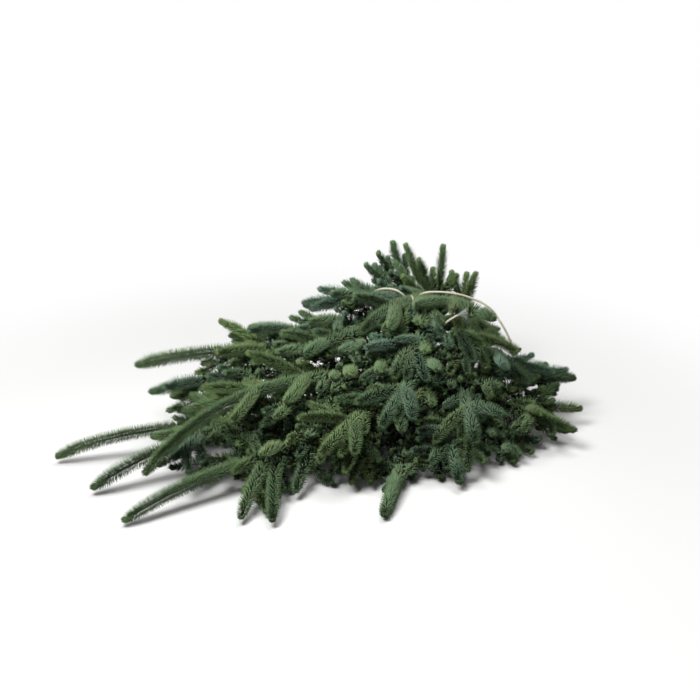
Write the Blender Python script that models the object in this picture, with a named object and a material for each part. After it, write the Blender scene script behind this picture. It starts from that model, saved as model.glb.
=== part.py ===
"""A tied bundle of noble fir branches, lying on its side.

Metres, +Z up, floor at Z = 0. The stems run through a neck where a twine holds them. Their cut ends point
towards +Y, and the needled sprays fan out towards -X, -Y and +X in front of the neck.
"""

import math
import random
from collections import namedtuple

import bmesh
import bpy
import numpy as np
from mathutils import Vector
from mathutils.bvhtree import BVHTree
from mathutils.geometry import interpolate_bezier

UP = Vector((0.0, 0.0, 1.0))

# ---- the neck, where the twine holds the stems ----
NECK = Vector((0.185, 0.065, 0.0))       # on the floor, under the middle of the tie
HEADING = math.radians(15.0)             # the stems point this far from -Y towards -X
COLUMN_STEP = 0.048                      # from one stem to the next, across the bundle
ROW_STEP = 0.037                         # from one layer of branches to the next
FLOOR_CLEARANCE = 0.0085                 # centre line of a shoot that lies on the floor
TAIL = 0.18                              # from the tie to the cut ends
TAIL_SPREAD = 0.82                       # the cut ends stand closer together than the stems in the tie,
TAIL_SINK = 0.55                         # and lower, because nothing holds them up
TAIL_RANGE = (0.90, 1.08)                # the tails are cut this much shorter or longer
NECK_PULL = 0.33                         # share of its reach over which a stem keeps the neck's direction
TIP_PULL = 0.42                          # and how early it turns towards its tip

AHEAD = Vector((-math.sin(HEADING), -math.cos(HEADING), 0.0))
ACROSS = Vector((math.cos(HEADING), -math.sin(HEADING), 0.0))

# ---- the shoots ----
LEADER_SLEEVE = 0.0145                   # reach of the needles round a main stem
SIDE_SLEEVE = 0.0165                     # and round a side shoot
FORK_SPACING = 0.088                     # between the forks of a branch
FORK_ANGLE = math.radians(46.0)
FORWARD_BEND = 0.6                       # a side shoot's tip keeps this share of the fork's angle
YOUNG_REACH = 0.55                       # the youngest side shoots have this share of a branch's reach,
OLD_REACH = 0.60                         # and the oldest have this much more
UNEVEN = 0.15                            # lengths and angles differ by up to this share,
UNEVEN_FORKS = 0.12                      # and the forks' spacing by up to this one
CUT_BEHIND_FORK = 0.014                  # a branch's pieces meet this far behind a fork
SHORTEST_SHOOT = 0.060
DROOP = 0.9                              # a side shoot's tip sinks by this times its length squared
LIFTS = (0.0, 0.12, -0.12, 0.26, -0.26, 0.42, -0.42, 0.62)    # slopes that a side shoot tries, in order
ROOM = 0.024                             # side shoots look for this much room between centre lines
STRIPPED = 0.045                         # no side shoots grow this close in front of the tie,
STRIPPED_ON_TOP = 0.010                  # or this close from the top row up
TOP_ROW = 4

# ---- the twine ----
TWINE = 0.0042                           # diameter
TWINE_STEP = 0.0164                      # between the rings of the twine
# The loop round the neck, from one side of the knot to the other: across the bundle, ahead, and height.
LOOP_ROUTE = (
    (-0.0315, 0.001, 0.1990), (-0.018, 0.000, 0.2070), (-0.002, -0.002, 0.2095), (0.025, -0.004, 0.2095),
    (0.052, -0.010, 0.2030), (0.083, -0.015, 0.1890), (0.106, -0.012, 0.1650), (0.125, -0.008, 0.1330),
    (0.137, -0.004, 0.1000), (0.132, 0.000, 0.0600), (0.121, 0.002, 0.0240), (0.106, 0.003, 0.0050),
    (0.085, 0.003, 0.0026), (0.000, 0.002, 0.0026), (-0.085, 0.001, 0.0026), (-0.106, 0.000, 0.0050),
    (-0.115, 0.000, 0.0300), (-0.117, 0.002, 0.0800), (-0.116, 0.004, 0.1300), (-0.114, 0.004, 0.1750),
    (-0.108, 0.003, 0.1960), (-0.094, 0.002, 0.2065), (-0.075, 0.002, 0.2095), (-0.060, 0.001, 0.2055),
    (-0.0485, 0.001, 0.1980),
)
KNOT = (-0.040, 0.001, 0.1980)
KNOT_SIZE = (0.0160, 0.0120, 0.0110)
# The end left over, from the knot to where it frays.
TAIL_ROUTE = (
    (-0.0385, 0.0078, 0.1980), (-0.036, 0.020, 0.2040), (-0.031, 0.036, 0.2120), (-0.023, 0.056, 0.2080),
    (-0.0115, 0.0725, 0.1965), (0.009, 0.0836, 0.1860), (0.0268, 0.0808, 0.1850), (0.0384, 0.0735, 0.1925),
    (0.0490, 0.0666, 0.1985),
)
FRAY = (0.0650, 0.0590, 0.1990)          # where the loose fibres end
FRAY_WIDTH = 0.026
FRAY_THICKNESS = 0.0060
FRAY_SIDES = 8

# ---- sleeves and stems ----
SIDES = 5
GAP = 0.0003                             # kept between pieces that touch
STEM_RADIUS = 0.0055                     # at the cut end
STEM_CORE = 0.0030                       # a main stem's sleeve is pressed in to no less than this,
TWIG_CORE = 0.0020                       # and a side shoot's to no less than this
PRESS_TURNS = 60
BARE_WOOD = 0.030                        # without needles, at the cut end
LEADER_RINGS = 0.066                     # between the rings of a main stem's sleeve
SIDE_RINGS = 0.092                       # and of a side shoot's
TURN_STEPS = 12                          # steps in which the corners are carried from ring to ring
SWEEP_MEAN = 0.90                        # share of a sleeve's reach at its sides, and how much more it is
SWEEP_UP = 0.20                          # above and less below, because the needles sweep up
PRESS_STEP = 0.90                        # a touching corner is pressed in to this share, again and again
TIP_LENGTH = 0.014                       # the last ring is this far behind the tip
LEADER_TIP_SCALE = 0.70                  # and how full the sleeve still is there
SIDE_TIP_SCALE = 0.95
SIDE_BASE_SCALE = 0.80                   # the same where a side shoot leaves its stem

NEEDLE_GREEN = (0.045, 0.085, 0.040)
TWINE_WHITE = (0.62, 0.60, 0.50)

CENTRE = Vector((0.008, -0.037, 0.0))     # the middle of the floor under the bundle

# One branch: its place in the neck, where its tip lies, how far it arches above the straight line, how
# long its tip is without side shoots, the length of its longest side shoots, its pieces and random seed.
Branch = namedtuple("Branch", "row column tip arch plain reach pieces seed")
BRANCHES = (
    # on the floor
    Branch(0, -2.0, (-0.410, -0.136, 0.0100), 0.09, 0.24, 0.10, 3, 1),
    Branch(0, -1.0, (-0.276, -0.335, 0.0070), 0.08, 0.26, 0.11, 3, 2),
    Branch(0, 0.0, (0.093, -0.322, 0.0070), 0.02, 0.19, 0.09, 3, 3),
    Branch(0, 1.0, (0.178, -0.205, 0.0070), 0.02, 0.08, 0.085, 2, 4),
    Branch(0, 2.0, (0.298, -0.155, 0.0070), 0.01, 0.09, 0.085, 2, 5),
    # second layer
    Branch(1, -1.5, (-0.336, -0.241, 0.0100), 0.09, 0.18, 0.10, 3, 6),
    Branch(1, -0.5, (-0.130, -0.250, 0.040), 0.03, 0.09, 0.11, 2, 7),
    Branch(1, 0.5, (0.208, -0.233, 0.012), 0.03, 0.09, 0.12, 2, 8),
    Branch(1, 1.6, (0.400, -0.103, 0.037), 0.02, 0.09, 0.085, 2, 9),
    # third layer
    Branch(2, -2.0, (-0.273, -0.049, 0.081), 0.03, 0.10, 0.12, 3, 10),
    Branch(2, -1.0, (-0.252, -0.270, 0.048), 0.155, 0.21, 0.12, 3, 11),
    Branch(2, 0.0, (0.000, -0.255, 0.068), 0.04, 0.09, 0.12, 2, 12),
    Branch(2, 1.0, (0.235, -0.190, 0.055), 0.03, 0.08, 0.12, 2, 13),
    Branch(2, 2.0, (0.422, 0.066, 0.056), 0.01, 0.10, 0.080, 2, 14),
    # fourth layer
    Branch(3, -1.5, (-0.297, -0.018, 0.114), 0.045, 0.21, 0.12, 2, 15),
    Branch(3, -0.5, (-0.110, -0.190, 0.088), 0.005, 0.09, 0.12, 2, 16),
    Branch(3, 0.5, (0.090, -0.210, 0.090), 0.04, 0.09, 0.12, 2, 17),
    Branch(3, 1.5, (0.330, -0.060, 0.095), 0.03, 0.08, 0.11, 2, 18),
    # fifth layer
    Branch(4, -2.0, (-0.145, 0.020, 0.140), 0.01, 0.10, 0.11, 2, 19),
    Branch(4, -1.0, (-0.060, -0.100, 0.145), 0.03, 0.08, 0.11, 2, 20),
    Branch(4, 0.0, (0.110, -0.130, 0.135), 0.03, 0.08, 0.11, 2, 21),
    Branch(4, 1.0, (0.260, -0.080, 0.130), 0.03, 0.08, 0.11, 2, 22),
    # on top
    Branch(5, -1.5, (-0.020, 0.030, 0.190), 0.02, 0.08, 0.10, 2, 23),
    Branch(5, -0.5, (0.060, -0.050, 0.178), 0.03, 0.08, 0.10, 2, 24),
    Branch(5, 0.6, (0.220, -0.030, 0.172), 0.03, 0.08, 0.10, 2, 25),
)

# Side shoots with a place of their own: the branch, the share of its length where they leave, the tip.
# The tufts behind the tie stand up, because nothing presses them down.
Placed = namedtuple("Placed", "branch share tip")
PLACED = (
    Placed(22, 0.30, (0.116, 0.172, 0.267)),
    Placed(22, 0.38, (0.067, 0.130, 0.239)),
    Placed(22, 0.47, (0.030, 0.100, 0.215)),
    Placed(22, 0.26, (0.089, 0.150, 0.254)),
    Placed(22, 0.34, (0.088, 0.120, 0.212)),
    Placed(23, 0.30, (0.136, 0.165, 0.264)),
    Placed(23, 0.22, (0.158, 0.150, 0.242)),
    Placed(23, 0.36, (0.128, 0.120, 0.222)),
    Placed(24, 0.16, (0.216, 0.182, 0.210)),
    Placed(23, 0.14, (0.205, 0.203, 0.250)),
    Placed(24, 0.22, (0.259, 0.162, 0.215)),
    Placed(24, 0.40, (0.316, 0.016, 0.116)),
    Placed(6, 0.865, (-0.110, -0.334, 0.0085)),
    Placed(6, 0.835, (-0.063, -0.343, 0.0085)),
    Placed(8, 0.60, (0.426, -0.004, 0.032)),
    Placed(13, 0.73, (0.386, 0.008, 0.056)),
    Placed(8, 0.79, (0.310, -0.118, 0.042)),
    Placed(5, 0.70, (-0.176, -0.170, 0.050)),
    Placed(9, 0.68, (-0.241, -0.100, 0.070)),
    Placed(11, 0.80, (0.077, -0.230, 0.012)),
    Placed(6, 0.66, (0.051, -0.227, 0.012)),
    Placed(6, 0.72, (-0.035, -0.262, 0.012)),
    Placed(22, 0.66, (0.046, 0.084, 0.226)),
    Placed(14, 0.60, (-0.193, -0.020, 0.118)),
    Placed(1, 0.62, (-0.223, -0.230, 0.040)),
    Placed(18, 0.66, (-0.054, 0.030, 0.180)),
    Placed(22, 0.80, (-0.033, 0.050, 0.196)),
    Placed(22, 0.70, (-0.008, 0.060, 0.217)),
    Placed(8, 0.66, (0.376, -0.030, 0.060)),
    Placed(8, 0.88, (0.357, -0.110, 0.030)),
    Placed(4, 0.62, (0.322, -0.070, 0.022)),
    Placed(10, 0.66, (-0.212, -0.120, 0.080)),
    Placed(24, 0.18, (0.245, 0.190, 0.205)),
)

# A shoot: its branch, the piece of that branch it grows on, its centre line, how far its needles reach, and
# on a main stem the distances where the branch is cut into pieces.
Shoot = namedtuple("Shoot", "branch piece points sleeve cuts", defaults=(None,))


def smooth_curve(start, handle_a, handle_b, end, count=13):
    return interpolate_bezier(start, handle_a, handle_b, end, count)


def leader_line(branch):
    """Centre line of a main stem from its cut end to its tip, and its length behind the neck."""
    rng = random.Random(branch.seed)
    sideways = branch.column * COLUMN_STEP
    height = FLOOR_CLEARANCE + branch.row * ROW_STEP
    tail = TAIL * rng.uniform(*TAIL_RANGE)
    crossing = NECK + ACROSS * sideways + UP * height
    cut = NECK + ACROSS * sideways * TAIL_SPREAD - AHEAD * tail
    cut.z = FLOOR_CLEARANCE + branch.row * ROW_STEP * TAIL_SINK
    tip = Vector(branch.tip)
    reach = (tip - crossing).length
    slope = (crossing - cut).normalized()
    handle_a = crossing + (AHEAD + slope).normalized() * reach * NECK_PULL
    handle_b = tip.lerp(handle_a, TIP_PULL) + UP * branch.arch
    knee = crossing - slope * tail * 0.4
    back = smooth_curve(cut, cut.lerp(knee, 0.5), knee, crossing, 6)
    points = back[:-1] + smooth_curve(crossing, handle_a, handle_b, tip, 17)
    return points, length_of(back)


def along(points, distance):
    """Point and direction at a distance along a centre line."""
    for a, b in zip(points, points[1:]):
        step = (b - a).length
        if distance <= step:
            return a.lerp(b, distance / step), (b - a).normalized()
        distance -= step
    return points[-1].copy(), (points[-1] - points[-2]).normalized()


def length_of(points):
    return sum((b - a).length for a, b in zip(points, points[1:]))


def side_line(base, heading, normal, side, angle, lift, length):
    """Centre line of a side shoot that leaves its stem at an angle and bends forward and down as it goes."""
    sideways = heading.cross(normal).normalized() * side
    early = (heading * math.cos(angle) + sideways * math.sin(angle) + normal * lift).normalized()
    bent = angle * FORWARD_BEND
    late = (heading * math.cos(bent) + sideways * math.sin(bent) + normal * lift * 0.5).normalized()
    end = base + (early + late).normalized() * length
    end.z -= DROOP * length * length
    points = smooth_curve(base, base + early * length * 0.4, end - late * length * 0.3, end, 9)
    for p in points[1:]:
        p.z = max(p.z, FLOOR_CLEARANCE)
    return points


def placed_line(base, heading, tip):
    """Centre line of a side shoot with a set tip: it leaves the stem forwards and turns towards the tip."""
    tip = Vector(tip)
    length = (tip - base).length
    toward = (tip - base).normalized()
    return smooth_curve(base, base + (heading + toward * 1.5).normalized() * length * 0.35,
                        tip - toward * length * 0.3, tip, 9)


def spots(points):
    """Points about 10 mm apart along a centre line, to measure room with."""
    count = max(2, round(length_of(points) / 0.010))
    return np.array([tuple(along(points, length_of(points) * i / count)[0]) for i in range(count + 1)])


def room_for(points, placed):
    """The least distance from a new centre line, away from its base, to those already placed."""
    tested = spots(points)[2:]
    return float(np.linalg.norm(tested[:, None] - placed[None], axis=2).min())


def forks_of(branch, total, tail):
    """Distances from the cut end where a branch forks, from the first fork to the last."""
    rng = random.Random(branch.seed + 50)
    bare = STRIPPED if branch.row < TOP_ROW else STRIPPED_ON_TOP
    forks = []
    at = total - branch.plain
    while at > tail + bare:
        forks.append(at)
        at -= FORK_SPACING * rng.uniform(1 - UNEVEN_FORKS, 1 + UNEVEN_FORKS)
    return forks[::-1]


def roomiest_side_line(base, heading, side, angle, length, others):
    """The side shoot's centre line at the first slope with room enough, or else at the one with most room."""
    normal = (UP - heading * UP.dot(heading)).normalized()
    found = []
    for lift in LIFTS:
        line = side_line(base, heading, normal, side, angle, lift, length)
        room = room_for(line, others)
        if room > ROOM:
            return line
        found.append((room, line))
    return max(found, key=lambda pair: pair[0])[1]


def grow():
    """All shoots of the bundle, branch by branch: the main stem, then its side shoots where there is room."""
    shoots = []
    lines = [leader_line(branch) for branch in BRANCHES]
    places = [spots(points) for points, _ in lines]
    for number, branch in enumerate(BRANCHES):
        points, tail = lines[number]
        rng = random.Random(100 + branch.seed)
        total = length_of(points)
        forks = forks_of(branch, total, tail)
        first_forks = [forks[i * len(forks) // branch.pieces] for i in range(1, branch.pieces)]
        cuts = [fork - CUT_BEHIND_FORK for fork in first_forks]
        shoots.append(Shoot(number, 0, points, LEADER_SLEEVE, cuts))
        for placed in PLACED:
            if placed.branch == number:
                distance = total * placed.share
                base, heading = along(points, distance)
                line = placed_line(base, heading, placed.tip)
                places.append(spots(line))
                piece = sum(distance > cut for cut in cuts)
                shoots.append(Shoot(number, piece, line, SIDE_SLEEVE))
        for fork in forks:
            base, heading = along(points, fork)
            older = (total - fork) / (total - tail)
            for side in (-1, 1):
                length = branch.reach * (YOUNG_REACH + OLD_REACH * older)
                length *= rng.uniform(1 - UNEVEN, 1 + UNEVEN)
                angle = FORK_ANGLE * rng.uniform(1 - UNEVEN, 1 + UNEVEN)
                others = np.concatenate(places[:number] + places[number + 1:])
                line = roomiest_side_line(base, heading, side, angle, max(length, SHORTEST_SHOOT), others)
                places.append(spots(line))
                piece = sum(fork > cut for cut in cuts)
                shoots.append(Shoot(number, piece, line, SIDE_SLEEVE))
    return shoots


# ---- twine ----

def in_bundle(place):
    """World position of a place given across the bundle, ahead of the tie, and as a height."""
    across, ahead, height = place
    return NECK + ACROSS * across + AHEAD * ahead + UP * height


def smooth_route(places, step):
    """A smooth curve through the places, as points one step apart."""
    knots = [in_bundle(place) for place in places]
    ends = [knots[0] * 2 - knots[1]] + knots + [knots[-1] * 2 - knots[-2]]
    fine = []
    for before, a, b, after in zip(ends, ends[1:], ends[2:], ends[3:]):
        reach = (b - a).length / 3
        leave = (b - before).normalized() * reach
        arrive = (after - a).normalized() * reach
        fine += smooth_curve(a, a + leave, b - arrive, b, 13)[:-1]
    fine.append(knots[-1])
    for p in fine:
        p.z = max(p.z, TWINE / 2 + GAP)
    count = round(length_of(fine) / step)
    return [along(fine, length_of(fine) * i / count)[0] for i in range(count + 1)]


# ---- solids ----

def reach_towards(angle):
    """Share of a sleeve's reach at an angle from its upper side."""
    return SWEEP_MEAN + SWEEP_UP * math.cos(angle)


def carried(across, points, start, end):
    """A direction square to the centre line, carried without twist from one distance along it to another."""
    for i in range(1, TURN_STEPS + 1):
        heading = along(points, start + (end - start) * i / TURN_STEPS)[1]
        across = (across - heading * across.dot(heading)).normalized()
    return across


class Sleeve:
    """The closed solid that a shoot's needles fill: rings of corners round its centre line, and a tip.

    Each ring is given by its distance along the centre line and its radius before the needles' sweep. The
    solid keeps each corner's reach from the centre line, so that it can be pressed in one corner at a time.
    """

    def __init__(self, points, rings, core, pointed):
        self.centres = []
        self.outward = []
        self.reach = []
        self.core = core
        self.rings = len(rings)
        self.pointed = pointed
        last = rings[0][0]
        across = along(points, last)[1].cross(UP).normalized()
        for distance, radius in rings:
            across = carried(across, points, last, distance)
            last = distance
            centre, heading = along(points, distance)
            upper = across.cross(heading)
            for corner in range(SIDES):
                angle = corner * math.tau / SIDES
                self.centres.append(centre)
                self.outward.append(upper * math.cos(angle) + across * math.sin(angle))
                self.reach.append(radius * reach_towards(angle))
        if pointed:
            tip = points[-1] - centre
            self.centres.append(centre)
            self.outward.append(tip.normalized())
            self.reach.append(tip.length)

    def corners(self, gap=0.0):
        found = [c + o * (r + gap) for c, o, r in zip(self.centres, self.outward, self.reach)]
        for p in found:
            p.z = max(p.z, -gap)
        return found

    def faces(self):
        found = [tuple(reversed(range(SIDES)))]
        for ring in range(self.rings - 1):
            for corner in range(SIDES):
                a = ring * SIDES + corner
                b = ring * SIDES + (corner + 1) % SIDES
                found.append((a, b, b + SIDES, a + SIDES))
        last = (self.rings - 1) * SIDES
        if self.pointed:
            for corner in range(SIDES):
                found.append((last + corner, last + (corner + 1) % SIDES, last + SIDES))
        else:
            found.append(tuple(last + corner for corner in range(SIDES)))
        return found

    def press(self, corners):
        """Needles bend in where something touches them, down to the twig in the middle."""
        for index in corners:
            self.reach[index] = max(self.core, self.reach[index] * PRESS_STEP)


def node_name(number, piece):
    pieces = BRANCHES[number].pieces
    parts = {2: ("base", "tip"), 3: ("base", "middle", "tip")}[pieces]
    return f"branch_{number + 1:02d}_{parts[piece]}"


def even_rings(start, end, radius, spacing):
    count = max(1, round((end - start) / spacing))
    return [(start + (end - start) * i / count, radius) for i in range(count + 1)]


def leader_sleeve(shoot, piece):
    """The stretch of a main stem that one piece of the branch holds, cut square at its forks."""
    total = length_of(shoot.points)
    ends = [0.0] + shoot.cuts + [total]
    start = ends[piece]
    end = ends[piece + 1]
    last = piece == len(ends) - 2
    rings = []
    if piece == 0:
        rings = [(0.0, STEM_RADIUS), (BARE_WOOD, STEM_RADIUS)]
        start = BARE_WOOD * 1.5
    else:
        start += 2 * GAP
    if last:
        end -= TIP_LENGTH
    rings += even_rings(start, end, shoot.sleeve, LEADER_RINGS)
    if last:
        rings[-1] = (end, shoot.sleeve * LEADER_TIP_SCALE)
    return Sleeve(shoot.points, rings, STEM_CORE, last)


def side_sleeve(shoot):
    rings = even_rings(0.0, length_of(shoot.points) - TIP_LENGTH, shoot.sleeve, SIDE_RINGS)
    rings[0] = (0.0, shoot.sleeve * SIDE_BASE_SCALE)
    rings[-1] = (rings[-1][0], shoot.sleeve * SIDE_TIP_SCALE)
    return Sleeve(shoot.points, rings, TWIG_CORE, True)


def sleeves_of(shoots):
    """Every sleeve, grouped by the node that it belongs to."""
    nodes = {}
    for shoot in shoots:
        if shoot.cuts is None:
            nodes.setdefault(node_name(shoot.branch, shoot.piece), []).append(side_sleeve(shoot))
        else:
            for piece in range(len(shoot.cuts) + 1):
                nodes[node_name(shoot.branch, piece)] = [leader_sleeve(shoot, piece)]
    return nodes


class Hull:
    """The faces of one node or twine, ready to be tested against another's."""

    def __init__(self, corners, faces, owners=None):
        self.tree = BVHTree.FromPolygons(corners, faces)
        self.owners = owners
        cloud = np.array([tuple(p) for p in corners])
        self.low = cloud.min(axis=0)
        self.high = cloud.max(axis=0)

    def touching(self, other):
        if (self.low > other.high).any() or (other.low > self.high).any():
            return []
        return self.tree.overlap(other.tree)


def node_hull(sleeves):
    corners = []
    faces = []
    owners = []
    for sleeve in sleeves:
        first = len(corners)
        corners += sleeve.corners(GAP)
        for face in sleeve.faces():
            faces.append(tuple(first + corner for corner in face))
            owners.append((sleeve, face))
    return Hull(corners, faces, owners)


def press_apart(nodes, ties):
    """Presses the sleeves in wherever a node meets another or a tie, until nothing touches."""
    for turn in range(PRESS_TURNS):
        hulls = [node_hull(sleeves) for sleeves in nodes.values()]
        pressed = []
        for i, hull in enumerate(hulls):
            for other in hulls[i + 1:]:
                for mine, theirs in hull.touching(other):
                    pressed += [hull.owners[mine], other.owners[theirs]]
            for tie in ties:
                pressed += [hull.owners[mine] for mine, _ in hull.touching(tie)]
        if not pressed:
            return
        corners = {(id(sleeve), corner): (sleeve, corner) for sleeve, face in pressed for corner in face}
        for sleeve, corner in corners.values():
            sleeve.press([corner])
    raise RuntimeError("two centre lines are too close for their sleeves to part")


def mesh_object(name, corners, faces):
    mesh = bpy.data.meshes.new(name)
    mesh.from_pydata([tuple(p) for p in corners], [], faces)
    made = bpy.data.objects.new(name, mesh)
    bpy.context.scene.collection.objects.link(made)
    return made


def applied_mesh(made):
    """The mesh of an object with its modifiers, or of a curve with its bevel."""
    graph = bpy.context.evaluated_depsgraph_get()
    return bpy.data.meshes.new_from_object(made.evaluated_get(graph))


def joined_sleeves(name, sleeves):
    """One solid from the overlapping sleeves of a node."""
    body = mesh_object(name, sleeves[0].corners(), sleeves[0].faces())
    helpers = []
    for sleeve in sleeves[1:]:
        helper = mesh_object(f"{name}_part", sleeve.corners(), sleeve.faces())
        helper.hide_render = True
        helper.display_type = "WIRE"
        helpers.append(helper)
        join = body.modifiers.new("join", "BOOLEAN")
        join.operation = "UNION"
        join.solver = "EXACT"
        join.use_self = True
        join.object = helper
    joined = applied_mesh(body)
    body.modifiers.clear()
    body.data = joined
    for helper in helpers:
        bpy.data.objects.remove(helper)
    joined.shade_smooth()
    joined.set_sharp_from_angle(angle=math.radians(60))
    return body


def twine_object(name, route):
    """A length of twine along a route."""
    curve = bpy.data.curves.new(name, "CURVE")
    curve.dimensions = "3D"
    curve.bevel_depth = TWINE / 2
    curve.bevel_resolution = 1
    curve.use_fill_caps = True
    points = smooth_route(route, TWINE_STEP)
    spline = curve.splines.new("POLY")
    spline.points.add(len(points) - 1)
    for target, point in zip(spline.points, points):
        target.co = (*point, 1.0)
    made = bpy.data.objects.new(name, curve)
    bpy.context.scene.collection.objects.link(made)
    return made


def knot_object():
    """The outer shape of the knot: a lump that is longest across the bundle."""
    lump = bmesh.new()
    bmesh.ops.create_icosphere(lump, subdivisions=2, radius=0.5)
    across, ahead, height = KNOT_SIZE
    middle = in_bundle(KNOT)
    for corner in lump.verts:
        x, y, z = corner.co
        corner.co = middle + ACROSS * x * across - AHEAD * y * ahead + UP * z * height
    mesh = bpy.data.meshes.new("twine_knot")
    lump.to_mesh(mesh)
    mesh.shade_smooth()
    made = bpy.data.objects.new("twine_knot", mesh)
    bpy.context.scene.collection.objects.link(made)
    return made


def fray_object():
    """The loose fibres at the end of the twine, as a flat fan that opens from the twine's width."""
    tail = smooth_route(TAIL_ROUTE, TWINE)
    leaving = (tail[-1] - tail[-2]).normalized()
    start = tail[-1] + leaving * GAP
    end = in_bundle(FRAY)
    heading = (end - start).normalized()
    rings = (
        (start, leaving, TWINE, TWINE),
        (start.lerp(end, 0.45), heading, FRAY_WIDTH * 0.55, TWINE),
        (end, heading, FRAY_WIDTH, FRAY_THICKNESS),
    )
    corners = []
    for centre, ahead, width, thickness in rings:
        wide = (UP - ahead * UP.dot(ahead)).normalized()
        thick = ahead.cross(wide)
        for i in range(FRAY_SIDES):
            angle = i * math.tau / FRAY_SIDES
            outward = wide * math.cos(angle) * width + thick * math.sin(angle) * thickness
            corners.append(centre + outward / 2)
    faces = [tuple(reversed(range(FRAY_SIDES))), tuple(range(2 * FRAY_SIDES, 3 * FRAY_SIDES))]
    for ring in (0, FRAY_SIDES):
        for i in range(FRAY_SIDES):
            j = (i + 1) % FRAY_SIDES
            faces.append((ring + i, ring + j, ring + FRAY_SIDES + j, ring + FRAY_SIDES + i))
    made = mesh_object("twine_fray", corners, faces)
    made.data.shade_smooth()
    made.data.set_sharp_from_angle(angle=math.radians(50))
    return made


def give_material(made, name, colour, roughness):
    material = bpy.data.materials.new(name)
    material.use_nodes = True
    shader = material.node_tree.nodes["Principled BSDF"]
    shader.inputs["Base Color"].default_value = (*colour, 1.0)
    shader.inputs["Roughness"].default_value = roughness
    shader.inputs["Metallic"].default_value = 0.0
    made.data.materials.clear()
    made.data.materials.append(material)


def main():
    for old in list(bpy.data.objects):
        bpy.data.objects.remove(old)

    twine = [twine_object("twine_loop", LOOP_ROUTE), knot_object(), twine_object("twine_tail", TAIL_ROUTE),
             fray_object()]
    ties = []
    for piece in twine:
        give_material(piece, piece.name, TWINE_WHITE, 0.85)
        mesh = applied_mesh(piece)
        ties.append(Hull([v.co for v in mesh.vertices], [tuple(face.vertices) for face in mesh.polygons]))

    nodes = sleeves_of(grow())
    press_apart(nodes, ties)
    branches = [joined_sleeves(name, sleeves) for name, sleeves in nodes.items()]
    for piece in branches:
        give_material(piece, f"needles_{piece.name}", NEEDLE_GREEN, 0.55)
    for piece in branches + twine:
        piece.location = -CENTRE


if __name__ == "__main__":
    main()
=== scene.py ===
# %% [markdown]
# # A tied bundle of noble fir branches
#
# Noble fir is sold in bundles of cut branches: some two dozen branches, each with its side shoots, laid
# one on another and tied round the stems with twine. The bundle lies on its side here. The stems run
# through the tie to their cut ends at the back, and the needled sprays fan out in front.
#
# What gives noble fir its look is its needles. Thousands of them stand close together on every shoot and
# sweep forwards and up like a brush. This lesson sets up the studio, lays out where every shoot runs, ties
# the twine, grows the needles and the bark along those lines, and ends with the sawn stems.
#
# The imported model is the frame. It has the right size, and each of its solids is the outer shape of the
# needles on a stretch of a branch. Those solids are hidden, and real needles stand in their place.

# %% Load the frame
import math
import random
from collections import namedtuple

import bmesh
import bpy
import numpy as np
from mathutils import Matrix, Vector
from mathutils.geometry import interpolate_bezier
from mathutils.kdtree import KDTree


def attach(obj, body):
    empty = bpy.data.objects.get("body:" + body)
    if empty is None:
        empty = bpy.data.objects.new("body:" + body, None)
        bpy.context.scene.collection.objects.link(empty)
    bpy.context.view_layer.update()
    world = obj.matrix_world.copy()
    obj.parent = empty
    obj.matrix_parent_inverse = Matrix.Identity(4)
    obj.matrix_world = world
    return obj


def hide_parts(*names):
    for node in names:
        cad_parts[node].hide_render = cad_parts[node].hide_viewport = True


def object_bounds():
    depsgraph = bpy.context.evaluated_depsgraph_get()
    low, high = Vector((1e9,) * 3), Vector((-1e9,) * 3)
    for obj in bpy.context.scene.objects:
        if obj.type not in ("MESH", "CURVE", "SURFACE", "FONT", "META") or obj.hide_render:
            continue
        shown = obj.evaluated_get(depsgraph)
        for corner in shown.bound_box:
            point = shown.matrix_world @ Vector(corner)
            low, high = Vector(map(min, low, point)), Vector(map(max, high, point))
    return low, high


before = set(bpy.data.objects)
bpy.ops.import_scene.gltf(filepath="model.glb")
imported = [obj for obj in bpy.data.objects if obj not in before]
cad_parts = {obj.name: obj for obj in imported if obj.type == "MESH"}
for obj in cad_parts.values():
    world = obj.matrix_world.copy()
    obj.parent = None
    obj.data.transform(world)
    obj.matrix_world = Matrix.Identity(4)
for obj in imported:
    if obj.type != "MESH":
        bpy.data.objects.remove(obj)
frame_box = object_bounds()
frame_low = np.array(frame_box[0])
frame_high = np.array(frame_box[1])
print("frame box in mm", [round(1000 * size) for size in frame_high - frame_low])

# %% [markdown]
# ## Helpers
#
# Colours are easiest to read as hex values, as a paint chart gives them, but shaders calculate with linear
# light. One function turns the first into the second. Both geometry and shaders are built from nodes, and
# one small function adds a node with its settings and its links, so that each step stays short.

# %% Colours, sizes and nodes
MM = 0.001
UP = Vector((0.0, 0.0, 1.0))


def linear(hex_colour):
    """An sRGB hex colour as linear red, green, blue and alpha."""
    channels = [int(hex_colour[i:i + 2], 16) / 255 for i in (1, 3, 5)]
    return tuple(c / 12.92 if c <= 0.04045 else ((c + 0.055) / 1.055) ** 2.4 for c in channels) + (1.0,)


def add(tree, kind, *inputs, output=0, **settings):
    """Adds a node with its settings, and returns the output asked for.

    Its inputs come in order, or as one dict by name or number. Each is a value, or a socket to link from.
    """
    node = tree.nodes.new(kind)
    for name, value in settings.items():
        setattr(node, name, value)
    by_name = inputs and isinstance(inputs[0], dict)
    for key, value in inputs[0].items() if by_name else enumerate(inputs):
        if isinstance(value, bpy.types.NodeSocket):
            tree.links.new(value, node.inputs[key])
        else:
            node.inputs[key].default_value = value
    return node.outputs[output] if node.outputs else None


def new_object(name, mesh):
    made = bpy.data.objects.new(name, mesh)
    bpy.context.scene.collection.objects.link(made)
    return made


def new_material(name):
    """A material with its node tree and the inputs of its shader."""
    material = bpy.data.materials.new(name)
    material.use_nodes = True
    return material, material.node_tree, material.node_tree.nodes["Principled BSDF"].inputs


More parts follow.
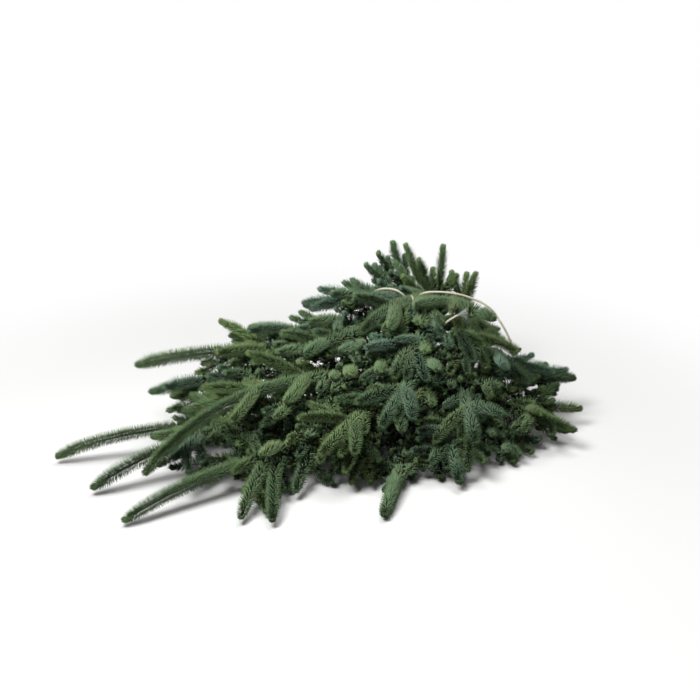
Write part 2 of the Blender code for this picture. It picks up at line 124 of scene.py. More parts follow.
def count_triangles(mesh):
    return sum(len(face.vertices) - 2 for face in mesh.polygons)


print("mid grey in linear light is", round(linear("#808080")[0], 3))

# The nodes that are used most, by short names.
MATH = "ShaderNodeMath"
VECTOR = "ShaderNodeVectorMath"
MIX = "ShaderNodeMix"
NAMED = "GeometryNodeInputNamedAttribute"
STORE = "GeometryNodeStoreNamedAttribute"
RANDOM = "FunctionNodeRandomValue"

# %% [markdown]
# ## The studio
#
# The bundle lies on white paper that runs up behind it, under two large soft lamps and a pale room light.
# The paper takes the bundle's shadow. Farther out it fades to plain white, as an overlit backdrop does, but
# only for what the camera sees. What it throws back at the bundle is the light of greyer paper, so that the
# gaps between the shoots stay dark.

# %% Floor and room light
PAPER_HALF = 6.0
FADE_FROM, FADE_TO = 0.28, 0.90          # distances from the middle over which the paper fades to white
PAPER_SEEN = "#F4F4F2"                   # the paper's colour for the camera,
PAPER_THROWN = "#5C5C5A"                 # and in the light that it throws back at the bundle
ROOM_LIGHT = 0.05


def stage_floor():
    material, tree, shader = new_material("white_paper")
    shader["Roughness"].default_value = 0.9
    mesh = bpy.data.meshes.new("floor")
    corners = [(x * PAPER_HALF, y * PAPER_HALF, 0.0) for x, y in ((-1, -1), (1, -1), (1, 1), (-1, 1))]
    mesh.from_pydata(corners, [], [(0, 1, 2, 3)])
    mesh.materials.append(material)
    place = add(tree, "ShaderNodeTexCoord", output="Object")
    distance = add(tree, VECTOR, place, operation="LENGTH", output="Value")
    away = add(tree, "ShaderNodeMapRange", distance, FADE_FROM, FADE_TO, interpolation_type="SMOOTHSTEP")
    seen = add(tree, "ShaderNodeLightPath", output="Is Camera Ray")
    paper = add(tree, MIX, {0: seen, 6: linear(PAPER_THROWN), 7: linear(PAPER_SEEN)}, data_type="RGBA",
                output=2)
    tree.links.new(paper, shader["Base Color"])
    share = add(tree, MATH, away, seen, operation="MULTIPLY")
    white = add(tree, "ShaderNodeEmission", linear("#FFFFFF"), 1.0)
    faded = add(tree, "ShaderNodeMixShader", share, tree.nodes["Principled BSDF"].outputs[0], white)
    tree.links.new(faded, tree.nodes["Material Output"].inputs[0])
    new_object("floor", mesh)


def stage_world():
    world = bpy.data.worlds.new("studio")
    bpy.context.scene.world = world
    world.use_nodes = True
    tree = world.node_tree
    seen = add(tree, "ShaderNodeLightPath", output="Is Camera Ray")
    strength = add(tree, MATH, seen, 1.0 - ROOM_LIGHT, ROOM_LIGHT, operation="MULTIPLY_ADD")
    light = tree.nodes["Background"].inputs
    light["Color"].default_value = linear("#FFFFFF")
    tree.links.new(strength, light["Strength"])


stage_floor()
stage_world()
print("the paper fades to white from", FADE_FROM, "m to", FADE_TO, "m from its middle")

# %% [markdown]
# A large lamp gives soft shadows. The main one stands high in front on the left, and a wider, weaker one
# hangs above, so the tops of the shoots catch light and the gaps between them go dark. The long lens looks
# down at the front, and shows the near tips at nearly the same scale as the far ones.

# %% Lamps and camera
TARGET = Vector((0.038, 0.037, 0.135))
CAMERA_DISTANCE = 2.18
CAMERA_ELEVATION = math.radians(22)
LENS, SENSOR_WIDTH = 70, 36              # in millimetres


def softbox(name, place, size, watts):
    lamp = bpy.data.lights.new(name, "AREA")
    lamp.shape = "DISK"
    lamp.size = size
    lamp.energy = watts
    made = new_object(name, lamp)
    made.location = place
    made.rotation_euler = (TARGET - Vector(place)).to_track_quat("-Z", "Y").to_euler()


softbox("key_lamp", (-0.7, -1.0, 1.8), 1.0, 46)
softbox("top_lamp", (0.5, 0.2, 2.2), 1.4, 20)

camera = new_object("camera", bpy.data.cameras.new("camera"))
camera.data.lens = LENS
camera.data.sensor_width = SENSOR_WIDTH
tilt = Vector((0, -math.cos(CAMERA_ELEVATION), math.sin(CAMERA_ELEVATION)))
camera.location = TARGET + tilt * CAMERA_DISTANCE
camera.rotation_euler = (TARGET - camera.location).to_track_quat("-Z", "Y").to_euler()
bpy.context.scene.camera = camera
bpy.context.scene.view_settings.view_transform = "Standard"
print("camera at", [round(c, 2) for c in camera.location])

# %% [markdown]
# ## The plan of the bundle
#
# A real bundle is made by laying branches side by side in layers and pulling the twine tight. The plan
# repeats that: each branch has a place in the neck, given as its layer and its column, and a point that its
# tip reaches. These are the imported model's values, so the needles fill its solids.

# %% The neck and the branches
CENTRE = Vector((0.008, -0.037, 0.0))    # the middle of the floor under the bundle
NECK = Vector((0.185, 0.065, 0.0))       # on the floor, under the middle of the tie
HEADING = math.radians(15.0)             # the stems point this far from -Y towards -X
COLUMN_STEP = 0.048                      # from one stem to the next, across the bundle
ROW_STEP = 0.037                         # from one layer of branches to the next
FLOOR_CLEARANCE = 0.0085                 # centre line of a shoot that lies on the floor
TAIL = 0.18                              # from the tie to the cut ends
TAIL_SPREAD = 0.82                       # the cut ends stand closer together than the stems in the tie,
TAIL_SINK = 0.55                         # and lower, because nothing holds them up
TAIL_RANGE = (0.90, 1.08)                # the tails are cut this much shorter or longer
TAIL_BEND = 0.4                          # a stem bends to its cut end over this share of its tail
NECK_PULL = 0.33                         # share of its reach over which a stem keeps the neck's direction
TIP_PULL = 0.42                          # and how early it turns towards its tip

AHEAD = Vector((-math.sin(HEADING), -math.cos(HEADING), 0.0))
ACROSS = Vector((math.cos(HEADING), -math.sin(HEADING), 0.0))

FORK_SPACING = 0.088                     # between the forks of a branch
FORK_ANGLE = math.radians(46.0)
FORWARD_BEND = 0.6                       # a side shoot's tip keeps this share of the fork's angle
YOUNG_REACH = 0.55                       # the youngest side shoots have this share of a branch's reach,
OLD_REACH = 0.60                         # and the oldest have this much more
UNEVEN = 0.15                            # lengths and angles differ by up to this share,
UNEVEN_FORKS = 0.12                      # and the forks' spacing by up to this one
SHORTEST_SHOOT = 0.060
START_PULL, END_PULL = 0.4, 0.3          # a side shoot keeps its two directions over these shares of it
LIFT_LEFT = 0.5                          # share of its slope that a side shoot still has at its tip
SIDE_POINTS = 9                          # on a side shoot's centre line
DROOP = 0.9                              # a side shoot's tip sinks by this times its length squared
LIFTS = (0.0, 0.12, -0.12, 0.26, -0.26, 0.42, -0.42, 0.62)    # slopes that a side shoot tries, in order
ROOM = 0.024                             # side shoots look for this much room between centre lines
STRIPPED = 0.045                         # no side shoots grow this close in front of the tie,
STRIPPED_ON_TOP = 0.010                  # or this close in the layers from TOP_ROW up
TOP_ROW = 4

# One branch: its layer and column in the neck, where its tip lies, how far it arches above the straight
# line, how long its tip is without side shoots, the length of its longest side shoots, and its seed.
Branch = namedtuple("Branch", "row column tip arch plain reach seed")
BRANCHES = [Branch(*row, seed) for seed, row in enumerate((
    # on the floor
    (0, -2.0, (-0.410, -0.136, 0.0100), 0.09, 0.24, 0.10),
    (0, -1.0, (-0.276, -0.335, 0.0070), 0.08, 0.26, 0.11),
    (0, 0.0, (0.093, -0.322, 0.0070), 0.02, 0.19, 0.09),
    (0, 1.0, (0.178, -0.205, 0.0070), 0.02, 0.08, 0.085),
    (0, 2.0, (0.298, -0.155, 0.0070), 0.01, 0.09, 0.085),
    # second layer
    (1, -1.5, (-0.336, -0.241, 0.0100), 0.09, 0.18, 0.10),
    (1, -0.5, (-0.130, -0.250, 0.040), 0.03, 0.09, 0.11),
    (1, 0.5, (0.208, -0.233, 0.012), 0.03, 0.09, 0.12),
    (1, 1.6, (0.400, -0.103, 0.037), 0.02, 0.09, 0.085),
    # third layer
    (2, -2.0, (-0.273, -0.049, 0.081), 0.03, 0.10, 0.12),
    (2, -1.0, (-0.252, -0.270, 0.048), 0.155, 0.21, 0.12),
    (2, 0.0, (0.000, -0.255, 0.068), 0.04, 0.09, 0.12),
    (2, 1.0, (0.235, -0.190, 0.055), 0.03, 0.08, 0.12),
    (2, 2.0, (0.422, 0.066, 0.056), 0.01, 0.10, 0.080),
    # fourth layer
    (3, -1.5, (-0.297, -0.018, 0.114), 0.045, 0.21, 0.12),
    (3, -0.5, (-0.110, -0.190, 0.088), 0.005, 0.09, 0.12),
    (3, 0.5, (0.090, -0.210, 0.090), 0.04, 0.09, 0.12),
    (3, 1.5, (0.330, -0.060, 0.095), 0.03, 0.08, 0.11),
    # fifth layer
    (4, -2.0, (-0.145, 0.020, 0.140), 0.01, 0.10, 0.11),
    (4, -1.0, (-0.060, -0.100, 0.145), 0.03, 0.08, 0.11),
    (4, 0.0, (0.110, -0.130, 0.135), 0.03, 0.08, 0.11),
    (4, 1.0, (0.260, -0.080, 0.130), 0.03, 0.08, 0.11),
    # on top
    (5, -1.5, (-0.020, 0.030, 0.190), 0.02, 0.08, 0.10),
    (5, -0.5, (0.060, -0.050, 0.178), 0.03, 0.08, 0.10),
    (5, 0.6, (0.220, -0.030, 0.172), 0.03, 0.08, 0.10),
), 1)]

# Side shoots with a place of their own: the branch, counted from 0, the share of its length where they
# leave, and the tip. The tufts behind the tie stand up, because nothing presses them down.
PLACED_TURN = 1.5                        # how much they set out towards their tip, against forwards,
PLACED_PULL = 0.35                       # and over which share of their length
Placed = namedtuple("Placed", "branch share tip")
PLACED = [Placed(*row) for row in (
    (22, 0.30, (0.116, 0.172, 0.267)), (22, 0.38, (0.067, 0.130, 0.239)),
    (22, 0.47, (0.030, 0.100, 0.215)), (22, 0.26, (0.089, 0.150, 0.254)),
    (22, 0.34, (0.088, 0.120, 0.212)), (23, 0.30, (0.136, 0.165, 0.264)),
    (23, 0.22, (0.158, 0.150, 0.242)), (23, 0.36, (0.128, 0.120, 0.222)),
    (24, 0.16, (0.216, 0.182, 0.210)), (23, 0.14, (0.205, 0.203, 0.250)),
    (24, 0.22, (0.259, 0.162, 0.215)), (24, 0.40, (0.316, 0.016, 0.116)),
    (6, 0.865, (-0.110, -0.334, 0.0085)), (6, 0.835, (-0.063, -0.343, 0.0085)),
    (8, 0.60, (0.426, -0.004, 0.032)), (13, 0.73, (0.386, 0.008, 0.056)),
    (8, 0.79, (0.310, -0.118, 0.042)), (5, 0.70, (-0.176, -0.170, 0.050)),
    (9, 0.68, (-0.241, -0.100, 0.070)), (11, 0.80, (0.077, -0.230, 0.012)),
    (6, 0.66, (0.051, -0.227, 0.012)), (6, 0.72, (-0.035, -0.262, 0.012)),
    (22, 0.66, (0.046, 0.084, 0.226)), (14, 0.60, (-0.193, -0.020, 0.118)),
    (1, 0.62, (-0.223, -0.230, 0.040)), (18, 0.66, (-0.054, 0.030, 0.180)),
    (22, 0.80, (-0.033, 0.050, 0.196)), (22, 0.70, (-0.008, 0.060, 0.217)),
    (8, 0.66, (0.376, -0.030, 0.060)), (8, 0.88, (0.357, -0.110, 0.030)),
    (4, 0.62, (0.322, -0.070, 0.022)), (10, 0.66, (-0.212, -0.120, 0.080)),
    (24, 0.18, (0.245, 0.190, 0.205)),
)]
print(len(BRANCHES), "branches")

# %% [markdown]
# ## Where the shoots run
#
# A conifer grows by a simple rule. Its leading shoot goes straight on, and each year a pair of side shoots
# leaves it at a fork, so the oldest side shoots are the longest. Drawing some 180 shoots by hand would take
# days and would still look stiff. Here each branch follows the rule with a random seed of its own, and a
# side shoot tries a few slopes and takes the first with room around it, as a shoot in a tied bundle does.
# A line is a list of points. Two small functions measure it and find a place on it.

# %% Lines and places on them
def length_of(points):
    return sum((b - a).length for a, b in zip(points, points[1:]))


def along(points, distance):
    """Point and direction at a distance along a centre line."""
    for a, b in zip(points, points[1:]):
        step = (b - a).length
        if distance <= step:
            return a.lerp(b, distance / step), (b - a).normalized()
        distance -= step
    return points[-1].copy(), (points[-1] - points[-2]).normalized()


def smooth_curve(start, handle_a, handle_b, end, count=13):
    return interpolate_bezier(start, handle_a, handle_b, end, count)


def leader_line(branch):
    """Centre line of a main stem from its cut end to its tip, and its length behind the neck."""
    rng = random.Random(branch.seed)
    sideways = branch.column * COLUMN_STEP
    height = FLOOR_CLEARANCE + branch.row * ROW_STEP
    tail = TAIL * rng.uniform(*TAIL_RANGE)
    crossing = NECK + ACROSS * sideways + UP * height
    cut = NECK + ACROSS * sideways * TAIL_SPREAD - AHEAD * tail
    cut.z = FLOOR_CLEARANCE + branch.row * ROW_STEP * TAIL_SINK
    tip = Vector(branch.tip)
    reach = (tip - crossing).length
    slope = (crossing - cut).normalized()
    handle_a = crossing + (AHEAD + slope).normalized() * reach * NECK_PULL
    handle_b = tip.lerp(handle_a, TIP_PULL) + UP * branch.arch
    knee = crossing - slope * tail * TAIL_BEND
    back = smooth_curve(cut, cut.lerp(knee, 0.5), knee, crossing, 6)
    return back[:-1] + smooth_curve(crossing, handle_a, handle_b, tip, 17), length_of(back)


def side_line(base, heading, normal, side, angle, lift, length):
    """Centre line of a side shoot: it leaves its stem at an angle and bends forward and down as it goes."""
    sideways = heading.cross(normal).normalized() * side
    early = (heading * math.cos(angle) + sideways * math.sin(angle) + normal * lift).normalized()
    bent = angle * FORWARD_BEND
    late = (heading * math.cos(bent) + sideways * math.sin(bent) + normal * lift * LIFT_LEFT).normalized()
    end = base + (early + late).normalized() * length
    end.z -= DROOP * length * length
    points = smooth_curve(base, base + early * length * START_PULL, end - late * length * END_PULL, end,
                          SIDE_POINTS)
    for p in points[1:]:
        p.z = max(p.z, FLOOR_CLEARANCE)
    return points


def placed_line(base, heading, tip):
    """Centre line of a side shoot with a set tip: it leaves the stem forwards and turns towards the tip."""
    tip = Vector(tip)
    length = (tip - base).length
    toward = (tip - base).normalized()
    leaving = (heading + toward * PLACED_TURN).normalized()
    return smooth_curve(base, base + leaving * length * PLACED_PULL, tip - toward * length * END_PULL, tip,
                        SIDE_POINTS)


longest_stem = max(length_of(leader_line(branch)[0]) for branch in BRANCHES)
print("the longest main stem is", round(longest_stem, 2), "m long")

# %% [markdown]
# Room is measured between points. A line is turned into points about 10 mm apart, and the least distance
# from them to those of all other lines says how much room it has. On each branch the side shoots with a
# place of their own come first, and those that follow the rule make room for them.

# %% Growing the shoots
Shoot = namedtuple("Shoot", "branch points is_leader")


def spots(points):
    """Points about 10 mm apart along a centre line, to measure room with."""
    count = max(2, round(length_of(points) / 0.010))
    return np.array([tuple(along(points, length_of(points) * i / count)[0]) for i in range(count + 1)])


def room_for(points, placed):
    """The least distance from a new centre line, away from its base, to those already placed."""
    tested = spots(points)[2:]
    return float(np.linalg.norm(tested[:, None] - placed[None], axis=2).min())


def forks_of(branch, total, tail):
    """Distances from the cut end where a branch forks, from the first fork to the last."""
    rng = random.Random(branch.seed + 50)
    bare = STRIPPED if branch.row < TOP_ROW else STRIPPED_ON_TOP
    forks = []
    at = total - branch.plain
    while at > tail + bare:
        forks.append(at)
        at -= FORK_SPACING * rng.uniform(1 - UNEVEN_FORKS, 1 + UNEVEN_FORKS)
    return forks[::-1]


def roomiest_side_line(base, heading, side, angle, length, others):
    """The side shoot's line at the first slope with room enough, or else at the one with most room."""
    normal = (UP - heading * UP.dot(heading)).normalized()
    found = []
    for lift in LIFTS:
        line = side_line(base, heading, normal, side, angle, lift, length)
        room = room_for(line, others)
        if room > ROOM:
            return line
        found.append((room, line))
    return max(found, key=lambda pair: pair[0])[1]


def grow():
    """All shoots of the bundle, branch by branch: the main stem, then its side shoots where there's room."""
    shoots = []
    lines = [leader_line(branch) for branch in BRANCHES]
    places = [spots(points) for points, _ in lines]
    for number, branch in enumerate(BRANCHES):
        points, tail = lines[number]
        rng = random.Random(100 + branch.seed)
        total = length_of(points)
        shoots.append(Shoot(number, points, True))
        for placed in PLACED:
            if placed.branch == number:
                base, heading = along(points, total * placed.share)
                line = placed_line(base, heading, placed.tip)
                places.append(spots(line))
                shoots.append(Shoot(number, line, False))
        for fork in forks_of(branch, total, tail):
            base, heading = along(points, fork)
            older = (total - fork) / (total - tail)
            for side in (-1, 1):
                length = branch.reach * (YOUNG_REACH + OLD_REACH * older)
                length *= rng.uniform(1 - UNEVEN, 1 + UNEVEN)
                angle = FORK_ANGLE * rng.uniform(1 - UNEVEN, 1 + UNEVEN)
                others = np.concatenate(places[:number] + places[number + 1:])
                line = roomiest_side_line(base, heading, side, angle, max(length, SHORTEST_SHOOT), others)
                places.append(spots(line))
                shoots.append(Shoot(number, line, False))
    return [Shoot(s.branch, [p - CENTRE for p in s.points], s.is_leader) for s in shoots]


shoots = grow()
print(len(shoots), "shoots,", round(sum(length_of(s.points) for s in shoots), 1), "m in all")

# %% [markdown]
# ## Running a node tree
#
# A tree is a recipe. The modifier on an object runs it, with that object's values in its named inputs. The
# finished piece is then read back as a plain mesh, and the modifier goes, so nothing has to be worked out
# again later. Inputs are set by their identifiers before the object is first evaluated.
#
# What a tree grows along a line, it needs to know from the line. So each line becomes a chain of points,
# and each point can store values such as a radius.

# %% Trees with named inputs, and chains of points
SOCKETS = {"geometry": "NodeSocketGeometry", "float": "NodeSocketFloat", "int": "NodeSocketInt",
           "object": "NodeSocketObject", "material": "NodeSocketMaterial"}


def new_tree(name, inputs):
    """A geometry tree with a geometry input and output, and the named inputs given by their kinds."""
    tree = bpy.data.node_groups.new(name, "GeometryNodeTree")
    tree.interface.new_socket("Geometry", in_out="OUTPUT", socket_type=SOCKETS["geometry"])
    tree.interface.new_socket("Geometry", in_out="INPUT", socket_type=SOCKETS["geometry"])
    for title, kind in inputs.items():
        tree.interface.new_socket(title, in_out="INPUT", socket_type=SOCKETS[kind])
    return tree, tree.nodes.new("NodeGroupInput").outputs


def finish_tree(tree, geometry, material, leftovers):
    """Drops the values that only the tree needed, makes every copy real and sets the material."""
    for pattern in leftovers:
        geometry = add(tree, "GeometryNodeRemoveAttribute", {"Geometry": geometry, "Name": pattern},
                       pattern_mode="WILDCARD")
    geometry = add(tree, "GeometryNodeRealizeInstances", geometry)
    geometry = add(tree, "GeometryNodeSetMaterial", {"Geometry": geometry, "Material": material})
    add(tree, "NodeGroupOutput", geometry)


def grown_object(name, mesh, tree, values):
    """Runs a tree on a mesh and returns the result as an object with a plain mesh."""
    made = new_object(name, mesh)
    modifier = made.modifiers.new("grow", "NODES")
    modifier.node_group = tree
    sockets = {item.name: item.identifier for item in tree.interface.items_tree if item.in_out == "INPUT"}
    for title, value in values.items():
        modifier[sockets[title]] = value
    graph = bpy.context.evaluated_depsgraph_get()
    grown = bpy.data.meshes.new_from_object(made.evaluated_get(graph), preserve_all_data_layers=True,
                                            depsgraph=graph)
    made.modifiers.clear()
    made.data = grown
    grown.name = name
    bpy.data.meshes.remove(mesh)
    return made


def chain_mesh(name, chains, is_closed=False):
    """A mesh of nothing but edges. Each chain is a list of points, and each point a dict of its values."""
    points = [point for chain in chains for point in chain]
    edges, first = [], 0
    for chain in chains:
        edges += [(i, i + 1) for i in range(first, first + len(chain) - 1)]
        if is_closed:
            edges.append((first + len(chain) - 1, first))
        first += len(chain)
    mesh = bpy.data.meshes.new(name)
    mesh.from_pydata([tuple(point["place"]) for point in points], edges, [])
    for key in points[0]:
        if key != "place":
            values = np.array([point[key] for point in points], np.float32)
            kind, field = ("FLOAT", "value") if values.ndim == 1 else ("FLOAT_VECTOR", "vector")
            mesh.attributes.new(key, kind, "POINT").data.foreach_set(field, values.ravel())
    return mesh


# %% [markdown]
# ## The twine
#
# The bundle is tied with thick cotton twine of three strands twisted together. It runs once round all the
# stems to a knot on top. The end that is left over lies among the needles and has come undone into loose
# fibres. The loop, the knot and the loose end repeat the routes of the imported solids, so each route is a
# short list of given places, with a smooth curve through them.

# %% Routes of the twine
TWINE = 0.0042                           # diameter
FLOOR_MARGIN = 0.0003
# The loop round the neck, from one side of the knot to the other: across the bundle, ahead, and height.
LOOP_ROUTE = (
    (-0.0315, 0.001, 0.1990), (-0.018, 0.000, 0.2070), (-0.002, -0.002, 0.2095), (0.025, -0.004, 0.2095),
    (0.052, -0.010, 0.2030), (0.083, -0.015, 0.1890), (0.106, -0.012, 0.1650), (0.125, -0.008, 0.1330),
    (0.137, -0.004, 0.1000), (0.132, 0.000, 0.0600), (0.121, 0.002, 0.0240), (0.106, 0.003, 0.0050),
    (0.085, 0.003, 0.0026), (0.000, 0.002, 0.0026), (-0.085, 0.001, 0.0026), (-0.106, 0.000, 0.0050),
    (-0.115, 0.000, 0.0300), (-0.117, 0.002, 0.0800), (-0.116, 0.004, 0.1300), (-0.114, 0.004, 0.1750),
    (-0.108, 0.003, 0.1960), (-0.094, 0.002, 0.2065), (-0.075, 0.002, 0.2095), (-0.060, 0.001, 0.2055),
    (-0.0485, 0.001, 0.1980),
)
KNOT = (-0.040, 0.001, 0.1980)
KNOT_SIZE = (0.0160, 0.0120, 0.0110)
# The end left over, from the knot to where it frays.
TAIL_ROUTE = (
    (-0.0385, 0.0078, 0.1980), (-0.036, 0.020, 0.2040), (-0.031, 0.036, 0.2120), (-0.023, 0.056, 0.2080),
    (-0.0115, 0.0725, 0.1965), (0.009, 0.0836, 0.1860), (0.0268, 0.0808, 0.1850), (0.0384, 0.0735, 0.1925),
    (0.0490, 0.0666, 0.1985),
)
FRAY = (0.0650, 0.0590, 0.1990)          # where the loose fibres end


def in_bundle(place):
    """A place given across the bundle, ahead of the tie, and as a height."""
    across, ahead, height = place
    return NECK + ACROSS * across + AHEAD * ahead + UP * height - CENTRE


def smooth_route(places, step):
    """A smooth curve through the places, as points one step apart."""
    knots = [in_bundle(place) for place in places]
    ends = [knots[0] * 2 - knots[1]] + knots + [knots[-1] * 2 - knots[-2]]
    fine = []
    for before, a, b, after in zip(ends, ends[1:], ends[2:], ends[3:]):
        reach = (b - a).length / 3
        leave = (b - before).normalized() * reach
        arrive = (after - a).normalized() * reach
        fine += smooth_curve(a, a + leave, b - arrive, b, 13)[:-1]
    fine.append(knots[-1])
    for p in fine:
        p.z = max(p.z, TWINE / 2 + FLOOR_MARGIN)
    count = round(length_of(fine) / step)
    return [along(fine, length_of(fine) * i / count)[0] for i in range(count + 1)]


TWINE_STEP = 1.5 * MM
loop_line = smooth_route(LOOP_ROUTE, TWINE_STEP)
tail_line = smooth_route(TAIL_ROUTE, TWINE_STEP)
print("loop", round(length_of(loop_line), 3), "m, loose end", round(length_of(tail_line), 3), "m")

# %% [markdown]
# Cotton twine is off-white and quite matt. Its fibres run along the strands, so the fine light and dark
# lines of the colour follow a noise that is stretched along the twine. The coordinates for it are stored on
# the mesh: how far round, and how far along.

# %% Cotton twine
FIBRE_PATTERN = (9.0, 160.0, 0.0)        # the fibres' noise, per metre along and per point round
COTTON_PATCHES = 60.0                    # per metre, so each is about 17 mm wide
COTTON_CONTRAST = 2.6


def cotton_material(name, light, dark):
    material, tree, shader = new_material(name)
    route = add(tree, "ShaderNodeAttribute", attribute_name="route", output="Vector")
    stretched = add(tree, VECTOR, route, FIBRE_PATTERN, operation="MULTIPLY")
    fibres = add(tree, "ShaderNodeTexNoise", {"Vector": stretched, "Scale": 1.0, "Detail": 3.0})
    place = add(tree, "ShaderNodeTexCoord", output="Object")
    patches = add(tree, "ShaderNodeTexNoise", {"Vector": place, "Scale": COTTON_PATCHES, "Detail": 2.0})
    share = add(tree, MATH, fibres, patches, operation="MULTIPLY")
    share = add(tree, MATH, share, COTTON_CONTRAST, operation="MULTIPLY", use_clamp=True)
    colour = add(tree, MIX, {0: share, 6: linear(dark), 7: linear(light)}, data_type="RGBA", output=2)
    bump = add(tree, "ShaderNodeBump", {"Height": fibres, "Strength": 0.6, "Distance": 0.3 * MM})
    tree.links.new(colour, shader["Base Color"])
    tree.links.new(bump, shader["Normal"])
    shader["Roughness"].default_value = 0.9
    shader["Sheen Weight"].default_value = 0.3
    return material


twine_material = cotton_material("twisted_cotton_twine", "#E6E2CE", "#A9A48C")
fibre_material = cotton_material("loose_cotton_fibres", "#E4E8E6", "#B4B9B4")

print("materials:", twine_material.name, "and", fibre_material.name)

# %% [markdown]
# Three strands could be modelled one by one, as helices. A section with three lobes that turns as it
# follows the route looks the same at this size and takes fewer faces. Blender can turn a section along a
# curve by the curve's tilt, so one small tree does for all pieces of the twine.

# %% The twine tree
LOBES = 3
SECTION_POINTS = 18
LOBE_DEPTH = 0.22                        # share of the radius between the strands
TURN_LENGTH = 14 * MM                    # the strands go once round in this length


def lobed_section():
    """A closed outline with a lobe for each strand, one unit in radius."""
    corners = []
    for i in range(SECTION_POINTS):
        angle = i * math.tau / SECTION_POINTS
        radius = 1.0 - LOBE_DEPTH * (0.5 - 0.5 * math.cos(LOBES * angle))
        corners.append((radius * math.cos(angle), radius * math.sin(angle), 0.0))
    edges = [(i, (i + 1) % SECTION_POINTS) for i in range(SECTION_POINTS)]
    mesh = bpy.data.meshes.new("section")
    mesh.from_pydata(corners, edges, [])
    return mesh


def twine_tree():
    """Twisted twine along every chain of a mesh, as thick as the chain's points say."""
    tree, given = new_tree("twisted_twine", {"Section": "object", "Turn length": "float",
                                             "Material": "material"})
    curve = add(tree, "GeometryNodeMeshToCurve", given["Geometry"])
    distance = add(tree, "GeometryNodeSplineParameter", output="Length")
    turns = add(tree, MATH, distance, given["Turn length"], operation="DIVIDE")
    tilt = add(tree, MATH, turns, math.tau, operation="MULTIPLY")
    curve = add(tree, "GeometryNodeSetCurveTilt", {"Curve": curve, "Tilt": tilt})
    curve = add(tree, STORE, {"Geometry": curve, "Name": "far", "Value": distance})
    section = add(tree, "GeometryNodeObjectInfo", {"Object": given["Section"]}, output="Geometry")
    section = add(tree, "GeometryNodeMeshToCurve", section)
    index = add(tree, "GeometryNodeInputIndex")
    section = add(tree, STORE, {"Geometry": section, "Name": "round", "Value": index})
    radius = add(tree, NAMED, "radius")
    twine = add(tree, "GeometryNodeCurveToMesh",
                {"Curve": curve, "Profile Curve": section, "Scale": radius, "Fill Caps": True})
    route = add(tree, "ShaderNodeCombineXYZ", add(tree, NAMED, "far"), add(tree, NAMED, "round"))
    twine = add(tree, STORE, {"Geometry": twine, "Name": "route", "Value": route}, data_type="FLOAT_VECTOR")
    twine = add(tree, "GeometryNodeSetShadeSmooth", twine)
    finish_tree(tree, twine, given["Material"], ("radius", "far", "round"))
    return tree


section_object = new_object("section", lobed_section())
twisting = twine_tree()


def twine_piece(name, chains, material, is_closed=False):
    return grown_object(name, chain_mesh(name + "_route", chains, is_closed), twisting,
                        {"Section": section_object, "Turn length": TURN_LENGTH, "Material": material})


print("the twine tree has", len(twisting.nodes), "nodes")

# %% [markdown]
# The loop and the loose end follow their routes. The knot is drawn as a clover knot, a closed line that
# crosses itself three times, pressed to the size of a knot that is pulled tight.

# %% The loop, the knot and the loose end
KNOT_POINTS = 48
PULLED_TIGHT = 0.9                       # the twine is this much thinner in the knot


def knot_line():
    """A clover knot's centre line, flattened to the size of the knot."""
    wide, ahead, high = [(size - TWINE * PULLED_TIGHT) / 2 for size in KNOT_SIZE]
    line = []
    for i in range(KNOT_POINTS):
        turn = i * math.tau / KNOT_POINTS
        x = (math.sin(turn) + 2 * math.sin(2 * turn)) / 3
        y = (math.cos(turn) - 2 * math.cos(2 * turn)) / 3
        offset = ACROSS * wide * x - AHEAD * ahead * y - UP * high * math.sin(3 * turn)
        line.append(in_bundle(KNOT) + offset)
    return line


def even_twine(line, radius=TWINE / 2):
    return [{"place": place, "radius": radius} for place in line]


twine_loop = twine_piece("twine_loop_strands", [even_twine(loop_line)], twine_material)
twine_knot = twine_piece("twine_knot_strands", [even_twine(knot_line(), TWINE * PULLED_TIGHT / 2)],
                         twine_material, is_closed=True)
twine_end = twine_piece("twine_loose_end", [even_twine(tail_line)], twine_material)

# %% [markdown]
# Where twine is cut it opens, and its fibres spread into a fan. Each fibre is a thin thread of its own that
# leaves the end of the twine and bends a little to one side.

# %% The frayed end
FIBRES = 70
FIBRE_RADIUS = 0.22 * MM
FIBRE_TAPER = 0.4                        # a fibre ends thinner by this share
FIBRE_POINTS = 8
FIBRE_REACH = (0.72, 0.97)               # of the fan's length
FIBRE_CURL = 1.2 * MM                    # a fibre wanders this far to either side before its end
FAN_WIDTH = 0.024
FAN_THICKNESS = 0.005


def fibre_chains():
    rng = random.Random(11)
    end = in_bundle(FRAY)
    leaving = (tail_line[-1] - tail_line[-2]).normalized()
    heading = (end - tail_line[-1]).normalized()
    wide = (UP - heading * UP.dot(heading)).normalized()
    thick = heading.cross(wide)
    chains = []
    for _ in range(FIBRES):
        spot = Vector((rng.gauss(0, 0.5), rng.gauss(0, 0.4)))
        if spot.length > 1:
            spot.normalize()
        reach = (end - tail_line[-1]).length * rng.uniform(*FIBRE_REACH)
        inner = tail_line[-1] + (wide * spot.x + thick * spot.y) * TWINE * 0.36
        outer = tail_line[-1] + heading * reach + wide * spot.x * FAN_WIDTH / 2 * rng.uniform(0.7, 1.0)
        outer += thick * spot.y * FAN_THICKNESS / 2
        handle = inner + leaving * reach * rng.uniform(0.3, 0.5)
        late = outer - (outer - handle).normalized() * reach * 0.25 + wide * rng.uniform(-1, 1) * FIBRE_CURL
        line = smooth_curve(inner, handle, late, outer, FIBRE_POINTS)
        chains.append([{"place": place, "radius": FIBRE_RADIUS * (1 - FIBRE_TAPER * i / FIBRE_POINTS)}
                       for i, place in enumerate(line)])
    return chains


